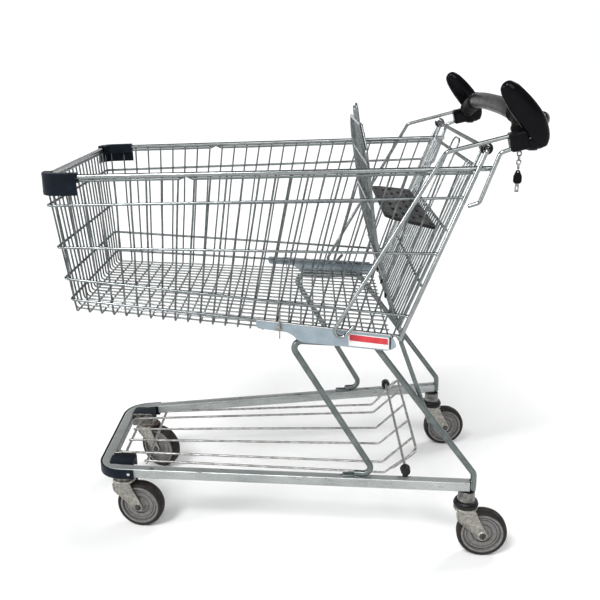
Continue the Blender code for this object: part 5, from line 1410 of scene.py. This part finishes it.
# ---------------------------------------------------------------- studio
def build_studio():
    """Floor, background light, suns and camera."""
    floor = bpy.data.meshes.new("studio_floor")
    work = bmesh.new()
    bmesh.ops.create_circle(work, cap_ends=True, radius=60.0, segments=96)
    work.to_mesh(floor)
    work.free()
    item = bpy.data.objects.new("studio_floor", floor)
    bpy.context.scene.collection.objects.link(item)
    pale = bpy.data.materials.new("studio_pale")
    pale.use_nodes = True
    shader = pale.node_tree.nodes["Principled BSDF"]
    shader.inputs["Base Color"].default_value = (0.93, 0.93, 0.93, 1.0)
    shader.inputs["Roughness"].default_value = 0.9
    shader.inputs["Specular IOR Level"].default_value = 0.1
    floor.materials.append(pale)

    world = bpy.data.worlds.new("studio")
    bpy.context.scene.world = world
    world.use_nodes = True
    nodes = world.node_tree.nodes
    links = world.node_tree.links
    back = nodes["Background"]
    direction = nodes.new("ShaderNodeTexCoord")
    split = nodes.new("ShaderNodeSeparateXYZ")
    fade = nodes.new("ShaderNodeMapRange")
    for label, value in (("From Min", 0.16), ("From Max", 0.42), ("To Min", 1.03), ("To Max", 0.22)):
        fade.inputs[label].default_value = value
    links.new(direction.outputs["Generated"], split.inputs[0])
    links.new(split.outputs["Z"], fade.inputs["Value"])
    links.new(fade.outputs["Result"], back.inputs["Strength"])
    back.inputs["Color"].default_value = (0.98, 0.99, 1.0, 1.0)

    for name, turn, power, spread_angle in (
        ("sun_key", (0.62, -0.42, 0.0), 2.15, 18.0),
        ("sun_fill", (-0.5, 0.55, 0.0), 1.0, 26.0),
        ("sun_side", (0.36, -1.22, 0.0), 1.1, 16.0),
        ("sun_front", (0.86, 0.2, 0.0), 0.62, 24.0),
    ):
        data = bpy.data.lights.new(name, "SUN")
        data.energy = power
        data.angle = math.radians(spread_angle)
        lamp = bpy.data.objects.new(name, data)
        bpy.context.scene.collection.objects.link(lamp)
        lamp.rotation_euler = turn
        lamp.location = (0.0, 0.0, 4.0)

    bpy.context.scene.view_settings.view_transform = "Standard"

    lens = bpy.data.cameras.new("camera")
    lens.lens = 48.0
    lens.sensor_width = 36.0
    camera = bpy.data.objects.new("camera", lens)
    bpy.context.scene.collection.objects.link(camera)
    camera.location = (0.03764, -1.75096, 1.0368)
    camera.rotation_euler = (math.pi / 2 - 0.30208, 0.0, 0.01048)
    bpy.context.scene.camera = camera


build_studio()
build_cross_wires()
build_long_wires()
build_ring_wires()
build_lip_wire()
build_rim()
build_bumpers()
build_side_plates()
build_rods()
build_rear_frame()
build_gate()
build_seat_back()
build_seat_plate()
build_chassis()
build_legs()
build_tray()
build_casters()
build_handle()
build_coin_key()
bpy.context.view_layer.update()
